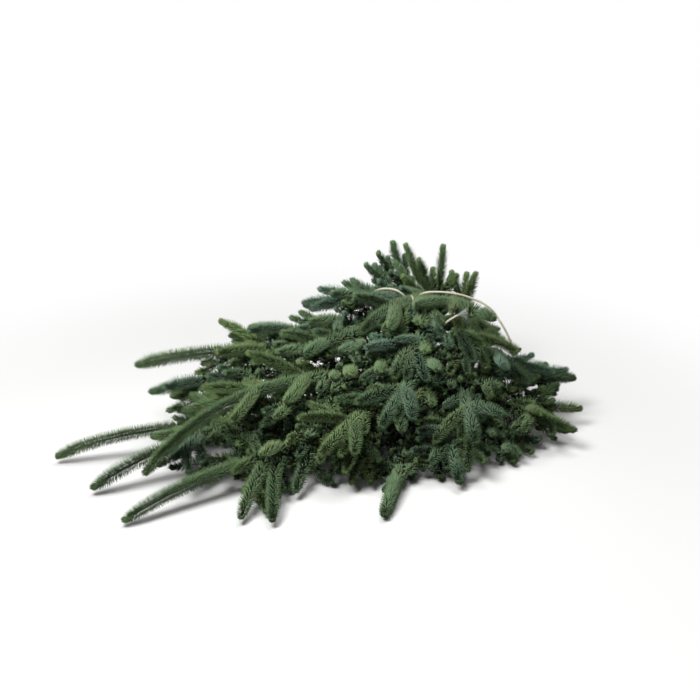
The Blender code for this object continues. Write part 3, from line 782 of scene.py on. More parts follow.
twine_fray = twine_piece("twine_frayed_fibres", fibre_chains(), fibre_material)
bpy.data.objects.remove(section_object)
for piece, node in ((twine_loop, "twine_loop"), (twine_knot, "twine_knot"), (twine_end, "twine_tail"),
                    (twine_fray, "twine_fray")):
    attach(piece, "root")
    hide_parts(node)
    print(piece.name, count_triangles(piece.data), "triangles")

# %% [markdown]
# ## How open a place is
#
# Deep in the bundle, light doesn't reach and neither does the eye. Two steps use this. Twigs grow into the
# room that is shut in, and needles are fewer but wider where nobody sees them one by one, so that the mesh
# is spent where it shows. Straight ways out of a place are tried in all directions but steeply down, where
# the floor is. The share of them that pass clear of all shoots says how open the place is.

# %% Ways out of a place
WAYS = 40
WAYS_LOWEST = -0.35                      # height of the lowest way on a ball of radius 1
WAY_STEPS = [24 * MM * i for i in range(1, 6)]
CLOSE = 14 * MM                          # a shoot this close to a way blocks it


def even_ways():
    """Directions spread evenly over a ball by the golden angle, without those that point well down."""
    ways = []
    for i in range(WAYS):
        height = 1 - (1 - WAYS_LOWEST) * (i + 0.5) / WAYS
        flat = math.sqrt(1 - height * height)
        angle = i * math.pi * (3 - math.sqrt(5))
        ways.append(Vector((flat * math.cos(angle), flat * math.sin(angle), height)))
    return ways


def cloud_of(places):
    cloud = KDTree(len(places))
    for index, place in enumerate(places):
        cloud.insert(place, index)
    cloud.balance()
    return cloud


def openness(place, cloud, ways):
    free = sum(all(cloud.find(place + way * step)[2] > CLOSE for step in WAY_STEPS) for way in ways)
    return free / len(ways)


print(len(even_ways()), "ways out are tried from each place")

# %% [markdown]
# ## Twigs between the shoots
#
# Side shoots that are long enough fork too, and short twigs leave the main stems between their forks. In
# the tied bundle they fill the room that is left between the shoots, so that hardly any floor shows through.
# A twig is tried on both sides of a fork at a few slopes. It grows at the slope with most room, and only
# where its tip ends in a place that is mostly shut in. A few more twigs are listed, each with the
# place of its tip, where the rule leaves a gap or where foliage covers the twine.

# %% Growing the twigs
FORKING_SHOOT = 0.060                    # side shoots at least this long fork
TWIG_SHARES = (0.14, 0.32, 0.50, 0.68)   # of the shoot's length where they do
STEM_FORKS = 0.032                       # between the twigs of a main stem, from the tie forwards
TWIG_LENGTH = 0.056
TWIG_UNEVEN = 0.2                        # lengths differ by up to this share
TWIG_NEAREST = 0.010                     # between a twig and the line of another shoot
TWIG_OPENNESS = 0.45                     # a twig's tip is no more open than this
FORK_SHIFT = 0.3                         # a main stem's twigs shift by up to this share of their spacing,
SHARE_SHIFT = 0.05                       # and a side shoot's by up to this share of its length

# Listed twigs: on top over the loose end of the twine, in the tufts behind the tie, at the right end,
# along the front edge on the surface, and in the middle.
LAID_TWIGS = [Placed(*row) for row in (
    (23, 0.60, (0.192, -0.048, 0.194)), (23, 0.55, (0.147, -0.030, 0.214)),
    (23, 0.72, (0.130, -0.055, 0.180)), (20, 0.62, (0.150, -0.075, 0.170)),
    (23, 0.50, (0.122, 0.055, 0.222)), (23, 0.52, (0.158, -0.055, 0.193)),
    (23, 0.45, (0.184, -0.055, 0.188)), (22, 0.28, (0.138, 0.190, 0.238)),
    (23, 0.23, (0.186, 0.180, 0.217)), (22, 0.42, (0.083, 0.150, 0.232)),
    (23, 0.17, (0.221, 0.190, 0.202)), (22, 0.34, (0.106, 0.170, 0.240)),
    (13, 0.57, (0.348, 0.050, 0.108)), (13, 0.62, (0.372, 0.052, 0.088)),
    (21, 0.30, (0.296, 0.090, 0.131)), (24, 0.44, (0.290, 0.100, 0.146)),
    (23, 0.20, (0.230, 0.180, 0.206)), (22, 0.40, (0.080, 0.140, 0.207)),
    (8, 0.76, (0.394, -0.060, 0.016)), (5, 0.72, (-0.150, -0.190, 0.054)),
    (8, 0.72, (0.352, -0.050, 0.016)), (11, 0.88, (0.028, -0.209, 0.020)),
    (6, 0.75, (-0.012, -0.215, 0.020)), (5, 0.67, (-0.149, -0.200, 0.059)),
    (2, 0.75, (0.061, -0.213, 0.014)), (3, 0.83, (0.163, -0.202, 0.020)),
    (12, 0.92, (0.219, -0.209, 0.020)), (4, 0.83, (0.307, -0.156, 0.020)),
    (22, 0.88, (-0.028, 0.080, 0.181)), (18, 0.87, (-0.151, 0.040, 0.143)),
    (18, 0.50, (0.001, 0.000, 0.116)), (14, 0.42, (-0.026, 0.000, 0.119)),
    (14, 0.52, (-0.012, 0.000, 0.121)), (18, 0.68, (-0.010, 0.050, 0.097)),
    (24, 0.97, (0.239, -0.080, 0.141)), (9, 0.72, (-0.165, -0.060, 0.132)),
    (8, 0.55, (0.300, -0.050, 0.045)),
)]


def laid_twigs():
    laid = []
    for twig in LAID_TWIGS:
        points = leader_line(BRANCHES[twig.branch])[0]
        base, heading = along(points, length_of(points) * twig.share)
        line = placed_line(base, heading, twig.tip)
        laid.append(Shoot(twig.branch, [p - CENTRE for p in line], False))
    return laid


def twig_distances(shoot, rng):
    """Distances along a shoot where twigs may leave it."""
    total = length_of(shoot.points)
    if shoot.is_leader:
        branch = BRANCHES[shoot.branch]
        first = leader_line(branch)[1] + STEM_FORKS / 2
        return [distance + rng.uniform(-FORK_SHIFT, FORK_SHIFT) * STEM_FORKS
                for distance in np.arange(first, total - branch.plain, STEM_FORKS)]
    if total < FORKING_SHOOT:
        return []
    return [total * (share + rng.uniform(-SHARE_SHIFT, SHARE_SHIFT)) for share in TWIG_SHARES]


def roomiest_twig(base, heading, side, rng, others, old_cloud, ways):
    """The line of a twig at the slope with most room, or nothing where it finds no shut-in place."""
    normal = (UP - heading * UP.dot(heading)).normalized()
    length = TWIG_LENGTH * rng.uniform(1 - TWIG_UNEVEN, 1 + TWIG_UNEVEN)
    angle = FORK_ANGLE * rng.uniform(1 - UNEVEN, 1 + UNEVEN)
    found = []
    for lift in LIFTS:
        line = side_line(base, heading, normal, side, angle, lift, length)
        room = room_for(line, others)
        if room > TWIG_NEAREST and openness(line[-1], old_cloud, ways) < TWIG_OPENNESS:
            found.append((room, line))
    return max(found, key=lambda pair: pair[0])[1] if found else None


def grow_twigs(shoots):
    rng = random.Random(3)
    places = [spots(shoot.points) for shoot in shoots]
    old_cloud = cloud_of(np.concatenate(places))
    ways = even_ways()
    twigs = []
    for own, shoot in enumerate(shoots):
        for distance in twig_distances(shoot, rng):
            base, heading = along(shoot.points, distance)
            for side in (-1, 1):
                others = np.concatenate(places[:own] + places[own + 1:])
                line = roomiest_twig(base, heading, side, rng, others, old_cloud, ways)
                if line:
                    twigs.append(Shoot(shoot.branch, line, False))
                    places.append(spots(line))
    return twigs


shoots += laid_twigs()
twigs = grow_twigs(shoots)
print(len(LAID_TWIGS), "twigs laid by hand, and", len(twigs), "that grew,",
      round(sum(length_of(s.points) for s in twigs), 1), "m in all")

# %% [markdown]
# ## Guide lines for the nodes
#
# Each shoot becomes a chain of points a few millimetres apart. Each point stores how long the needles are
# there, how far they lean away from the stem and curve up, how close they stand, which side is up, how thick
# the stem is, what tone the shoot has and how old its needles are. The needles keep one length along the
# shoot. Near its end they get shorter and lean more forwards, so that their tips lie on a round end over the
# bud. Standing shoots keep their needles close round them, and level ones sweep them up.

# %% What each point of a shoot stores
GUIDE_STEP = 8 * MM
BUD_REACH = 11 * MM                      # the needles round the bud reach this far past the stem's end
SIDE_NEEDLE = 18.5 * MM                  # longest needles on a side shoot,
TWIG_NEEDLE = 16 * MM                    # on a twig that grew by the rule,
LEADER_NEEDLE = 17 * MM                  # on a leading shoot,
TIP_NEEDLE = 13 * MM                     # and beside the bud
LENGTH_UNEVEN = 0.10                     # shoots differ by up to this share in the length of their needles,
TONE_UNEVEN = 0.08                       # and by about this much in tone, besides their own random one
SIDE_LEAN = math.radians(54)             # from the stem's direction, where a needle leaves it
LEADER_LEAN = math.radians(60)
TIP_LEAN = math.radians(34)
LEAN_RANGE = (0.94, 1.08)                # side shoots' leans differ by these factors
UPRIGHT_CLOSES = 0.20                    # a rising shoot's needles lean this much less, as they turn up too
TIP_STRETCH = 28 * MM                    # over which the needles shorten towards the tip,
BASE_STRETCH = 30 * MM                   # and towards the fork,
BASE_START = 8 * MM                      # where they have this much of that stretch behind them already,
BASE_SHORTER = 0.20                      # by up to this share
CUT_STEM = 5.5 * MM                      # radius of a main stem at its cut end,
LEADER_END = 1.3 * MM                    # and at its tip,
TAPER = 1.2                              # thinning a little faster at first
SIDE_BASE = 1.4 * MM                     # radius of a side shoot at its fork,
SIDE_END = 0.8 * MM                      # and at its tip
BARE_WOOD = 30 * MM                      # without needles, at the cut end
SIDE_SPACING = 0.26 * MM                 # along a shoot in the open, about 38 needles on each centimetre
LEADER_SPACING = 0.18 * MM
SIDE_RISE = 1.6                          # how strongly the needles beside and below the stem curve up
LEADER_RISE = 0.8
OLD_STRETCH = 0.30                       # a main stem's needles turn young about this far from its cut end,
SIDE_OLD_STRETCH = 0.06                  # and a side shoot's this far from its fork
STEEP = 0.4                              # a line this close to upright keeps the side that was up before
MIDDLE = Vector((0.05, 0.34, 0.0))       # branches lie with their upper sides away from here,
SIDE_FACING = 1.2                        # by this share of upright on the side shoots
LEADER_FACING = 0.5                      # and this on the leading ones

Guide = namedtuple("Guide", "branch chain bare")


def smoothstep(x):
    x = min(1.0, max(0.0, x))
    return x * x * (3 - 2 * x)


def guide_for(shoot, longest, branch_tone, rng):
    """Evenly spaced points of one shoot, up to where its stem ends, with what the nodes need."""
    end = length_of(shoot.points) - BUD_REACH
    count = max(3, round(end / GUIDE_STEP))
    longest *= rng.uniform(1 - LENGTH_UNEVEN, 1 + LENGTH_UNEVEN)
    widest = LEADER_LEAN if shoot.is_leader else SIDE_LEAN * rng.uniform(*LEAN_RANGE)
    tone = min(1.0, max(0.0, 0.5 * branch_tone + 0.5 * rng.random() + rng.gauss(0, TONE_UNEVEN)))
    places = [along(shoot.points, end * i / count)[0] for i in range(count + 1)]
    outside = places[count // 2] - MIDDLE
    outside.z = 0.0
    facing = UP + outside.normalized() * (LEADER_FACING if shoot.is_leader else SIDE_FACING)
    chain, upper = [], UP
    for i, place in enumerate(places):
        heading = (places[min(i + 1, count)] - places[max(i - 1, 0)]).normalized()
        upright = facing - heading * facing.dot(heading)
        if upright.length < STEEP and chain:
            upright = upper - heading * upper.dot(heading)
        upper = upright.normalized()
        level = heading.cross(UP).length
        distance = end * i / count
        ahead = min(1.0, (end - distance) / TIP_STRETCH)
        tip = 1 - (1 - ahead) ** 2
        base = 1.0 if shoot.is_leader else smoothstep((distance + BASE_START) / BASE_STRETCH)
        if shoot.is_leader:
            radius = LEADER_END + (CUT_STEM - LEADER_END) * (1 - i / count) ** TAPER
            age = 1 - smoothstep(distance / OLD_STRETCH - 0.5)
        else:
            radius = SIDE_END + (SIDE_BASE - SIDE_END) * (1 - i / count)
            age = 0.5 - 0.5 * smoothstep(distance / SIDE_OLD_STRETCH)
        chain.append({
            "bare_wood": float(shoot.is_leader and distance < BARE_WOOD + CUT_STEM),
            "place": place, "upper": upper, "radius": radius, "tone": tone, "age": age,
            "spacing": LEADER_SPACING if shoot.is_leader else SIDE_SPACING,
            "rise": level * (LEADER_RISE if shoot.is_leader else SIDE_RISE), "level": level,
            "length": (TIP_NEEDLE + (longest - TIP_NEEDLE) * tip) * (1 - BASE_SHORTER + BASE_SHORTER * base),
            "lean": (TIP_LEAN + (widest - TIP_LEAN) * tip) * (1 - UPRIGHT_CLOSES * max(0.0, heading.z))})
    return Guide(shoot.branch, chain, round(BARE_WOOD / end * count) if shoot.is_leader else 0)


# %% [markdown]
# Where a place is shut in on all sides, only a small share of the needles grows. The share rises with the
# openness, fast at first, and all needles grow where about a third of the ways out are free.

# %% How many needles grow
BURIED_SHARE = 0.158                     # of the needles grow where no way is open
OPEN_WAYS = 0.35                         # share of open ways from which all of them grow,
OPEN_POWER = 0.6                         # with most of the rise at its start


def store_openness(guides):
    """Gives every guide point the share of its needles that grow, and returns the mean."""
    points = [point for guide in guides for point in guide.chain]
    cloud = cloud_of([point["place"] for point in points])
    ways = even_ways()
    for point in points:
        share = min(1.0, openness(point["place"], cloud, ways) / OPEN_WAYS) ** OPEN_POWER
        point["open"] = BURIED_SHARE + (1 - BURIED_SHARE) * share
    return sum(point["open"] for point in points) / len(points)


tone_rng = random.Random(7)
branch_tones = [tone_rng.random() for _ in BRANCHES]
guides = [guide_for(shoot, LEADER_NEEDLE if shoot.is_leader else SIDE_NEEDLE, branch_tones[shoot.branch],
                    tone_rng) for shoot in shoots]
guides += [guide_for(twig, TWIG_NEEDLE, branch_tones[twig.branch], tone_rng) for twig in twigs]
print(sum(len(guide.chain) for guide in guides), "guide points")
print("share of the needles that grow:", round(store_openness(guides), 2))

# %% [markdown]
# ## Needle material
#
# A fir needle is a living leaf with a thin coat of wax. The wax gives a soft sheen, and on noble fir it
# forms pale grey-green bands, the stomatal bands, which make the tree look frosted. Some shoots are more
# yellow-green and some more blue-green, old needles are duller and darker, partly from age and partly as
# painted shade, and a few have dried to brown. Towards its foot a needle is painted nearly black as painted
# shade, because hardly any light falls between needles that stand so close.
#
# The colour therefore comes from stored values and not from an image: the tone of the shoot, a random
# number for each needle, its age, and the place along and around the needle, which its UV map holds.

# %% Waxy fir needles
NEEDLE_GREENS = ((0.0, "#6E8450"), (0.22, "#627C49"), (0.55, "#52704B"), (0.82, "#506F5A"),
                 (1.0, "#607E6E"))
FLAT_SIDE = 0.75                         # the middle of a needle's flat side, as a share of the way round
BAND_CENTRE = 0.11                       # from there, as a share of the way round
BAND_WIDTH = 0.07
# The duller green of old needles is also dark as painted shade, where they sit near the tie and the forks.
OLD_DULLS_AND_SHADES = 0.55                         # an old needle's green gives way to a duller one by this share
DARKEST, LIGHTER = 0.68, 0.60            # the darkest needle's share of its green, and how much more at most


def waxy_needle_material():
    material, tree, shader = new_material("waxy_fir_needles")
    growth = add(tree, "ShaderNodeAttribute", attribute_name="growth", output="Vector")
    tone, chance, age = add(tree, "ShaderNodeSeparateXYZ", growth).node.outputs
    place = add(tree, "ShaderNodeUVMap", uv_map="needle")
    around, far, _ = add(tree, "ShaderNodeSeparateXYZ", place).node.outputs

    # The shoot's own green, from yellow-green to grey-green.
    green = add(tree, "ShaderNodeValToRGB", tone)
    ramp = green.node.color_ramp
    ramp.elements[0].color = linear(NEEDLE_GREENS[0][1])
    ramp.elements[1].color = linear(NEEDLE_GREENS[-1][1])
    for position, colour in NEEDLE_GREENS[1:-1]:
        ramp.elements.new(position).color = linear(colour)

    # Old needles are duller and darker, partly from age and partly as painted shade, each needle is lighter
    # or darker than its neighbours, and a few are dry.
    dull_and_painted_shade = add(tree, MATH, age, OLD_DULLS_AND_SHADES, operation="MULTIPLY")
    green = add(tree, MIX, {0: dull_and_painted_shade, 6: green, 7: linear("#3E4A28")}, data_type="RGBA", output=2)
    light = add(tree, MATH, chance, LIGHTER, DARKEST, operation="MULTIPLY_ADD")
    grey = add(tree, "ShaderNodeCombineColor", light, light, light)
    green = add(tree, MIX, {0: 1.0, 6: green, 7: grey}, data_type="RGBA", blend_type="MULTIPLY", output=2)
    limit = add(tree, MATH, age, -0.03, 0.995, operation="MULTIPLY_ADD")
    dry = add(tree, MATH, chance, limit, operation="GREATER_THAN")

    # Pale bands of wax on the flat side, painted shade that darkens the foot to nearly black, and a yellower
    # tip that is partly a painted highlight.
    off_centre = add(tree, MATH, add(tree, MATH, around, FLAT_SIDE, operation="SUBTRACT"),
                     operation="ABSOLUTE")
    band = add(tree, MATH, off_centre, BAND_CENTRE, BAND_WIDTH, operation="COMPARE")
    band = add(tree, MATH, band, add(tree, MATH, tone, 0.35, 0.12, operation="MULTIPLY_ADD"),
               operation="MULTIPLY")
    # Painted shade: each needle goes nearly black towards its foot, as the shade between needles that stand
    # close.
    foot = add(tree, MATH, far, -1.6, 0.96, operation="MULTIPLY_ADD", use_clamp=True)
    # A yellower tip: partly the needle's own colour and partly a painted highlight on the tips.
    tip_tint_and_painted_highlight = add(tree, MATH, far, 1.2, -0.85, operation="MULTIPLY_ADD", use_clamp=True)
    for share, colour in ((dry, "#7A4F2C"), (band, "#8AA38C"), (foot, "#10160D"), (tip_tint_and_painted_highlight, "#7F9658")):
        green = add(tree, MIX, {0: share, 6: green, 7: linear(colour)}, data_type="RGBA", output=2)
    tree.links.new(green, shader["Base Color"])
    rough = add(tree, MATH, chance, 0.15, 0.42, operation="MULTIPLY_ADD")
    tree.links.new(rough, shader["Roughness"])
    shader["IOR"].default_value = 1.45
    return material


needle_material = waxy_needle_material()
print("material:", needle_material.name)

# %% [markdown]
# ## One needle
#
# A needle of noble fir is about 20 mm long and 2 mm wide, flat on the side that faces the stem and ridged
# on the other. It is modelled once, from its thin foot in the bark to its widest place and its tip. It
# stands straight up with a length and a half width of 1, and the tree bends and sizes each copy. It has no
# more than six faces, because nearly 150,000 copies of it are needed.

# %% The needle that is copied
WIDEST = 0.42                            # of the way up a needle
# The three corners of its section: how far across, how far out, and the share of the way round.
NEEDLE_SECTION = ((-1.0, 0.25, 0.0), (0.0, -0.45, 0.25), (1.0, 0.25, 0.5))


def single_needle():
    sides = len(NEEDLE_SECTION)
    foot, tip = sides, sides + 1
    corners = [(x, y, WIDEST) for x, y, _ in NEEDLE_SECTION] + [(0.0, 0.0, 0.0), (0.0, 0.0, 1.0)]
    faces, rounds = [], []
    for i in range(sides):
        j = (i + 1) % sides
        a, b = NEEDLE_SECTION[i][2], NEEDLE_SECTION[j][2] or 1.0
        faces += [(i, j, tip), (j, i, foot)]
        rounds += [a, b, (a + b) / 2, b, a, (a + b) / 2]
    mesh = bpy.data.meshes.new("single_needle")
    mesh.from_pydata(corners, [], faces)
    layer = mesh.uv_layers.new(name="needle")
    for loop, way_round in zip(mesh.loops, rounds):
        layer.data[loop.index].uv = (way_round, corners[loop.vertex_index][2])
    mesh.attributes.new("shape", "FLOAT_VECTOR", "POINT").data.foreach_set(
        "vector", np.array(corners, np.float32).ravel())
    mesh.shade_smooth()
    return mesh


needle_object = new_object("single_needle", single_needle())
print("one needle has", count_triangles(needle_object.data), "triangles")

# %% [markdown]
# ## The tree that grows the needles
#
# The needles sit in a spiral round the stem. The golden angle, 137.5 degrees, is the turn from each needle
# to the next in nature too, and it never lets two needles line up. From its place each needle sets out away
# from the stem and forwards, then curves up, those below the most. That is the brush of noble fir.
#
# The tree has four stages: find the places, work out two directions for each, put a needle there, and bend
# it. A bent needle follows a parabola that starts in the first direction and ends in the second.

# %% Stage one: places for the needles
GOLDEN_ANGLE = math.pi * (3 - math.sqrt(5))
SPIRAL_SHARE = 0.92                      # of the way round the stem has needles, counted from above
TURN_WOBBLE = 0.1                        # in radians, either way
SEEDS = {"turn": 1, "lean": 2, "length": 3, "width": 4, "chance": 5, "buried": 6, "bend": 7}


def needle_places(tree, given):
    """Points along every shoot and a crown of them round each bud, with azimuth, crown share and heading."""
    curve = add(tree, "GeometryNodeMeshToCurve", given["Geometry"])
    spacing = add(tree, NAMED, "spacing")
    curve = add(tree, "GeometryNodeResampleCurve", {"Curve": curve, "Length": spacing}, mode="LENGTH")
    heading = add(tree, "GeometryNodeInputTangent")
    curve = add(tree, STORE, {"Geometry": curve, "Name": "work_heading", "Value": heading},
                data_type="FLOAT_VECTOR")
    last = add(tree, "GeometryNodeCurveEndpointSelection", {"Start Size": 0, "End Size": 1})
    curve = add(tree, STORE, {"Geometry": curve, "Name": "work_last", "Value": last}, data_type="BOOLEAN")
    points = add(tree, "GeometryNodeCurveToPoints", {"Curve": curve}, mode="EVALUATED")

    # Round the stem, but none straight below it. Where the place is shut in, most of them go again.
    index = add(tree, "GeometryNodeInputIndex")
    wobble = add(tree, RANDOM, {2: -TURN_WOBBLE, 3: TURN_WOBBLE, "Seed": SEEDS["turn"]}, output=1)
    turn = add(tree, MATH, index, GOLDEN_ANGLE, wobble, operation="MULTIPLY_ADD")
    turn = add(tree, MATH, turn, math.pi, -math.pi, operation="WRAP")
    turn = add(tree, MATH, turn, SPIRAL_SHARE, operation="MULTIPLY")
    sides = add(tree, STORE, {"Geometry": points, "Name": "work_azimuth", "Value": turn})
    draw = add(tree, RANDOM, {2: 0.0, 3: 1.0, "Seed": SEEDS["buried"]}, output=1)
    buried = add(tree, MATH, draw, add(tree, NAMED, "open"), operation="GREATER_THAN")
    sides = add(tree, "GeometryNodeDeleteGeometry", sides, buried)

    # Round the bud.
    last = add(tree, NAMED, "work_last", data_type="BOOLEAN")
    crown = add(tree, "GeometryNodeDuplicateElements",
                {"Geometry": points, "Selection": last, "Amount": given["Crown"]}, domain="POINT")
    count = crown.node.outputs[1]
    turn = add(tree, MATH, count, GOLDEN_ANGLE, operation="MULTIPLY")
    crown = add(tree, STORE, {"Geometry": crown, "Name": "work_azimuth", "Value": turn})
    share = add(tree, MATH, add(tree, MATH, count, 1.0), given["Crown"], operation="DIVIDE")
    crown = add(tree, STORE, {"Geometry": crown, "Name": "work_crown", "Value": share})
    joined = add(tree, "GeometryNodeJoinGeometry", sides)
    tree.links.new(crown, joined.node.inputs[0])
    return joined


# %% [markdown]
# A needle's first direction lies between the stem's heading and straight outward. Its second direction
# leans further out and also rises to the upper side, most for the needles below. Round the bud the needles
# run from straight ahead in the middle to a wide rim, and close over the bud.

# %% Stage two: directions
CROWN_LEAN = math.radians(70)            # of the outermost needles round the bud
CROWN_CURL = -0.10                       # they close over the bud: they end with this share of their lean
LATE_TURN = 2.8                          # a needle beside the stem ends with its lean times this,
LATE_LESS = math.radians(64)             # less this, so that it curves out, and least beside the bud
LEAN_CHANCE = 0.05                       # leans differ by up to this many radians either way,
BEND_CHANCE = 0.08                       # needles bend to a side by up to this share of their length,
LENGTH_CHANCE = (0.92, 1.05)             # and their lengths
WIDTH_CHANCE = (0.88, 1.12)              # and widths differ by these factors
FOOT_DEPTH = 0.8                         # a needle starts at this share of the stem's radius
BURIED_WIDER = 0.6                       # needles deep inside are fewer, and up to this much wider
HUG = 0.10                               # needles below the stem lean this much less,
SHORTER_BELOW = 0.22                     # and are shorter


def weighted_sum(tree, *pairs):
    """The sum of vectors, each with its weight."""
    total = None
    for vector, weight in pairs:
        term = add(tree, VECTOR, {0: vector, "Scale": weight}, operation="SCALE")
        total = term if total is None else add(tree, VECTOR, total, term)
    return total


def between(tree, first, second, angle):
    """The two parts of the direction at an angle from the first one towards the second."""
    return [(axis, add(tree, MATH, angle, operation=part))
            for axis, part in ((first, "COSINE"), (second, "SINE"))]


def needle_directions(tree, points, given):
    """Stores each needle's start, its half width, and its two directions, which are as long as it is."""
    heading = add(tree, NAMED, "work_heading", data_type="FLOAT_VECTOR")
    upper = add(tree, NAMED, "upper", data_type="FLOAT_VECTOR")
    across = add(tree, VECTOR, add(tree, VECTOR, heading, upper, operation="CROSS_PRODUCT"),
                 operation="NORMALIZE")
    azimuth = add(tree, NAMED, "work_azimuth")
    upness = add(tree, MATH, azimuth, operation="COSINE")
    outward = weighted_sum(tree, *between(tree, upper, across, azimuth))
    edge = add(tree, VECTOR, heading, outward, operation="CROSS_PRODUCT")
    level = add(tree, MATH, add(tree, NAMED, "level"), -0.5, operation="MULTIPLY")
    below = add(tree, MATH, upness, level, 0.5, operation="MULTIPLY_ADD")

    # In the crown, the lean runs from straight ahead in the middle to the rim.
    crown = add(tree, NAMED, "work_crown")
    in_crown = add(tree, MATH, crown, 0.0, operation="GREATER_THAN")
    crown_lean = add(tree, MATH, add(tree, MATH, crown, operation="SQRT"), CROWN_LEAN, operation="MULTIPLY")
    lean_chance = add(tree, RANDOM, {2: -LEAN_CHANCE, 3: LEAN_CHANCE, "Seed": SEEDS["lean"]}, output=1)
    lean = add(tree, MATH, add(tree, NAMED, "lean"), lean_chance)
    hug = add(tree, MATH, below, -HUG, 1.0, operation="MULTIPLY_ADD")
    lean = add(tree, MATH, lean, hug, operation="MULTIPLY")
    lean = add(tree, MIX, {0: in_crown, 2: lean, 3: crown_lean})
    curl = add(tree, MATH, crown_lean, CROWN_CURL, operation="MULTIPLY")
    forwards = add(tree, MATH, lean, LATE_TURN, -LATE_LESS, operation="MULTIPLY_ADD")
    later_lean = add(tree, MIX, {0: in_crown, 2: forwards, 3: curl})

    shortest, longest = LENGTH_CHANCE
    length_chance = add(tree, RANDOM, {2: shortest, 3: longest, "Seed": SEEDS["length"]}, output=1)
    length = add(tree, MATH, add(tree, NAMED, "length"), length_chance, operation="MULTIPLY")
    shorter = add(tree, MATH, below, -SHORTER_BELOW, 1.0, operation="MULTIPLY_ADD")
    length = add(tree, MATH, length, shorter, operation="MULTIPLY")
    out = weighted_sum(tree, *between(tree, heading, outward, lean))
    rise = add(tree, MATH, add(tree, MATH, below, operation="SQRT"), add(tree, NAMED, "rise"),
               operation="MULTIPLY")
    bend = add(tree, RANDOM, {2: -BEND_CHANCE, 3: BEND_CHANCE, "Seed": SEEDS["bend"]}, output=1)
    later = weighted_sum(tree, *between(tree, heading, outward, later_lean), (upper, rise), (edge, bend))
    later = add(tree, VECTOR, later, operation="NORMALIZE")

    foot = add(tree, MATH, add(tree, NAMED, "radius"), FOOT_DEPTH, operation="MULTIPLY")
    start = weighted_sum(tree, (add(tree, "GeometryNodeInputPosition"), 1.0), (outward, foot))
    narrowest, widest = WIDTH_CHANCE
    width_chance = add(tree, RANDOM, {2: narrowest, 3: widest, "Seed": SEEDS["width"]}, output=1)
    half = add(tree, MATH, given["Half width"], width_chance, operation="MULTIPLY")
    broad = add(tree, MATH, add(tree, NAMED, "open"), -BURIED_WIDER, 1.0 + BURIED_WIDER,
                operation="MULTIPLY_ADD")
    half = add(tree, MATH, half, broad, operation="MULTIPLY")
    chance = add(tree, RANDOM, {2: 0.0, 3: 1.0, "Seed": SEEDS["chance"]}, output=1)
    growth = add(tree, "ShaderNodeCombineXYZ", add(tree, NAMED, "tone"), chance, add(tree, NAMED, "age"))
    for name, value in (("work_start", start), ("work_out", weighted_sum(tree, (out, length))),
                        ("work_later", weighted_sum(tree, (later, length))),
                        ("work_edge", weighted_sum(tree, (edge, half))), ("growth", growth)):
        points = add(tree, STORE, {"Geometry": points, "Name": name, "Value": value},
                     data_type="FLOAT_VECTOR")
    return add(tree, STORE, {"Geometry": points, "Name": "work_half", "Value": half})


# %% [markdown]
# Every copy is made real before it is bent, because each has a bend of its own. The needle's own unit
# coordinates, stored on it as its shape, say how far up and how far to the side each corner belongs.

# %% Stages three and four: copies in place, and the bend
def needles_in_place(tree, points, given):
    """Copies the needle to every point, makes the copies real and bends each along its parabola."""
    needle = add(tree, "GeometryNodeObjectInfo", {"Object": given["Needle"]}, output="Geometry")
    copies = add(tree, "GeometryNodeInstanceOnPoints", {"Points": points, "Instance": needle})
    real = add(tree, "GeometryNodeRealizeInstances", copies)
    start, out, later, edge, shape = [
        add(tree, NAMED, name, data_type="FLOAT_VECTOR")
        for name in ("work_start", "work_out", "work_later", "work_edge", "shape")]
    sideways, thick, place = add(tree, "ShaderNodeSeparateXYZ", shape).node.outputs
    square = add(tree, MATH, place, place, operation="MULTIPLY")
    late = add(tree, MATH, square, 0.5, operation="MULTIPLY")
    early = add(tree, MATH, place, late, operation="SUBTRACT")
    direction = weighted_sum(tree, (out, add(tree, MATH, 1.0, place, operation="SUBTRACT")), (later, place))
    inner = add(tree, VECTOR, add(tree, VECTOR, direction, edge, operation="CROSS_PRODUCT"),
                operation="NORMALIZE")
    thickness = add(tree, MATH, add(tree, NAMED, "work_half"), thick, operation="MULTIPLY")
    bent = weighted_sum(tree, (start, 1.0), (out, early), (later, late), (edge, sideways),
                        (inner, thickness))
    return add(tree, "GeometryNodeSetPosition", {"Geometry": real, "Position": bent})


# What the guide points and the stages store for the trees. No finished piece needs these values, and only
# the bark keeps bare_wood, for its material.
WORK_VALUES = ("work_*", "shape", "upper", "lean", "tone", "age", "length", "radius", "open", "spacing",
               "rise", "level")


def needle_tree():
    tree, given = new_tree("needles_on_shoots", {
        "Needle": "object", "Half width": "float", "Crown": "int", "Material": "material"})
    needles = needle_directions(tree, needle_places(tree, given), given)
    needles = needles_in_place(tree, needles, given)
    finish_tree(tree, needles, given["Material"], WORK_VALUES + ("bare_wood",))
    return tree


# %% [markdown]
# ## Where the needles give way
#
# Needles give way where something presses on them. The tight twine pushes them in towards the stems, so that
# it lies open on top of them, and the push fades out beside it. The floor flattens them: the nearer a point
# is to it, the more of its way down it loses, and points well above it stay where they are. The frame's box
# holds the outermost tips in the same way.

# %% Under the twine and on the floor
FLOOR_GAP = 0.3 * MM
SOFTNESS = 1.6 * MM                      # needles that press on the floor bend flat within this height
TWINE_ROOM = 2.5 * MM                    # between the twine's centre line and the needles under it
PRESSED_NEAR = 5 * MM                    # needles this close beside the twine are fully under it,
PRESSED_FAR = 14 * MM                    # and from here they stand free
PRESSED_HIGH = 30 * MM                   # how far above the twine needles are still pressed down
TAIL_SHOWN = 12 * MM                     # of the loose end lies on top
NECK_MIDDLE = in_bundle((0.0, 0.0, 0.10))    # in the tie, half way up
pressing_lines = np.array(loop_line + tail_line[-round(TAIL_SHOWN / TWINE_STEP):] + [in_bundle(FRAY)])
pressing_cloud = cloud_of([Vector(place) for place in pressing_lines])
print(len(pressing_lines), "points of the twine press on the needles")


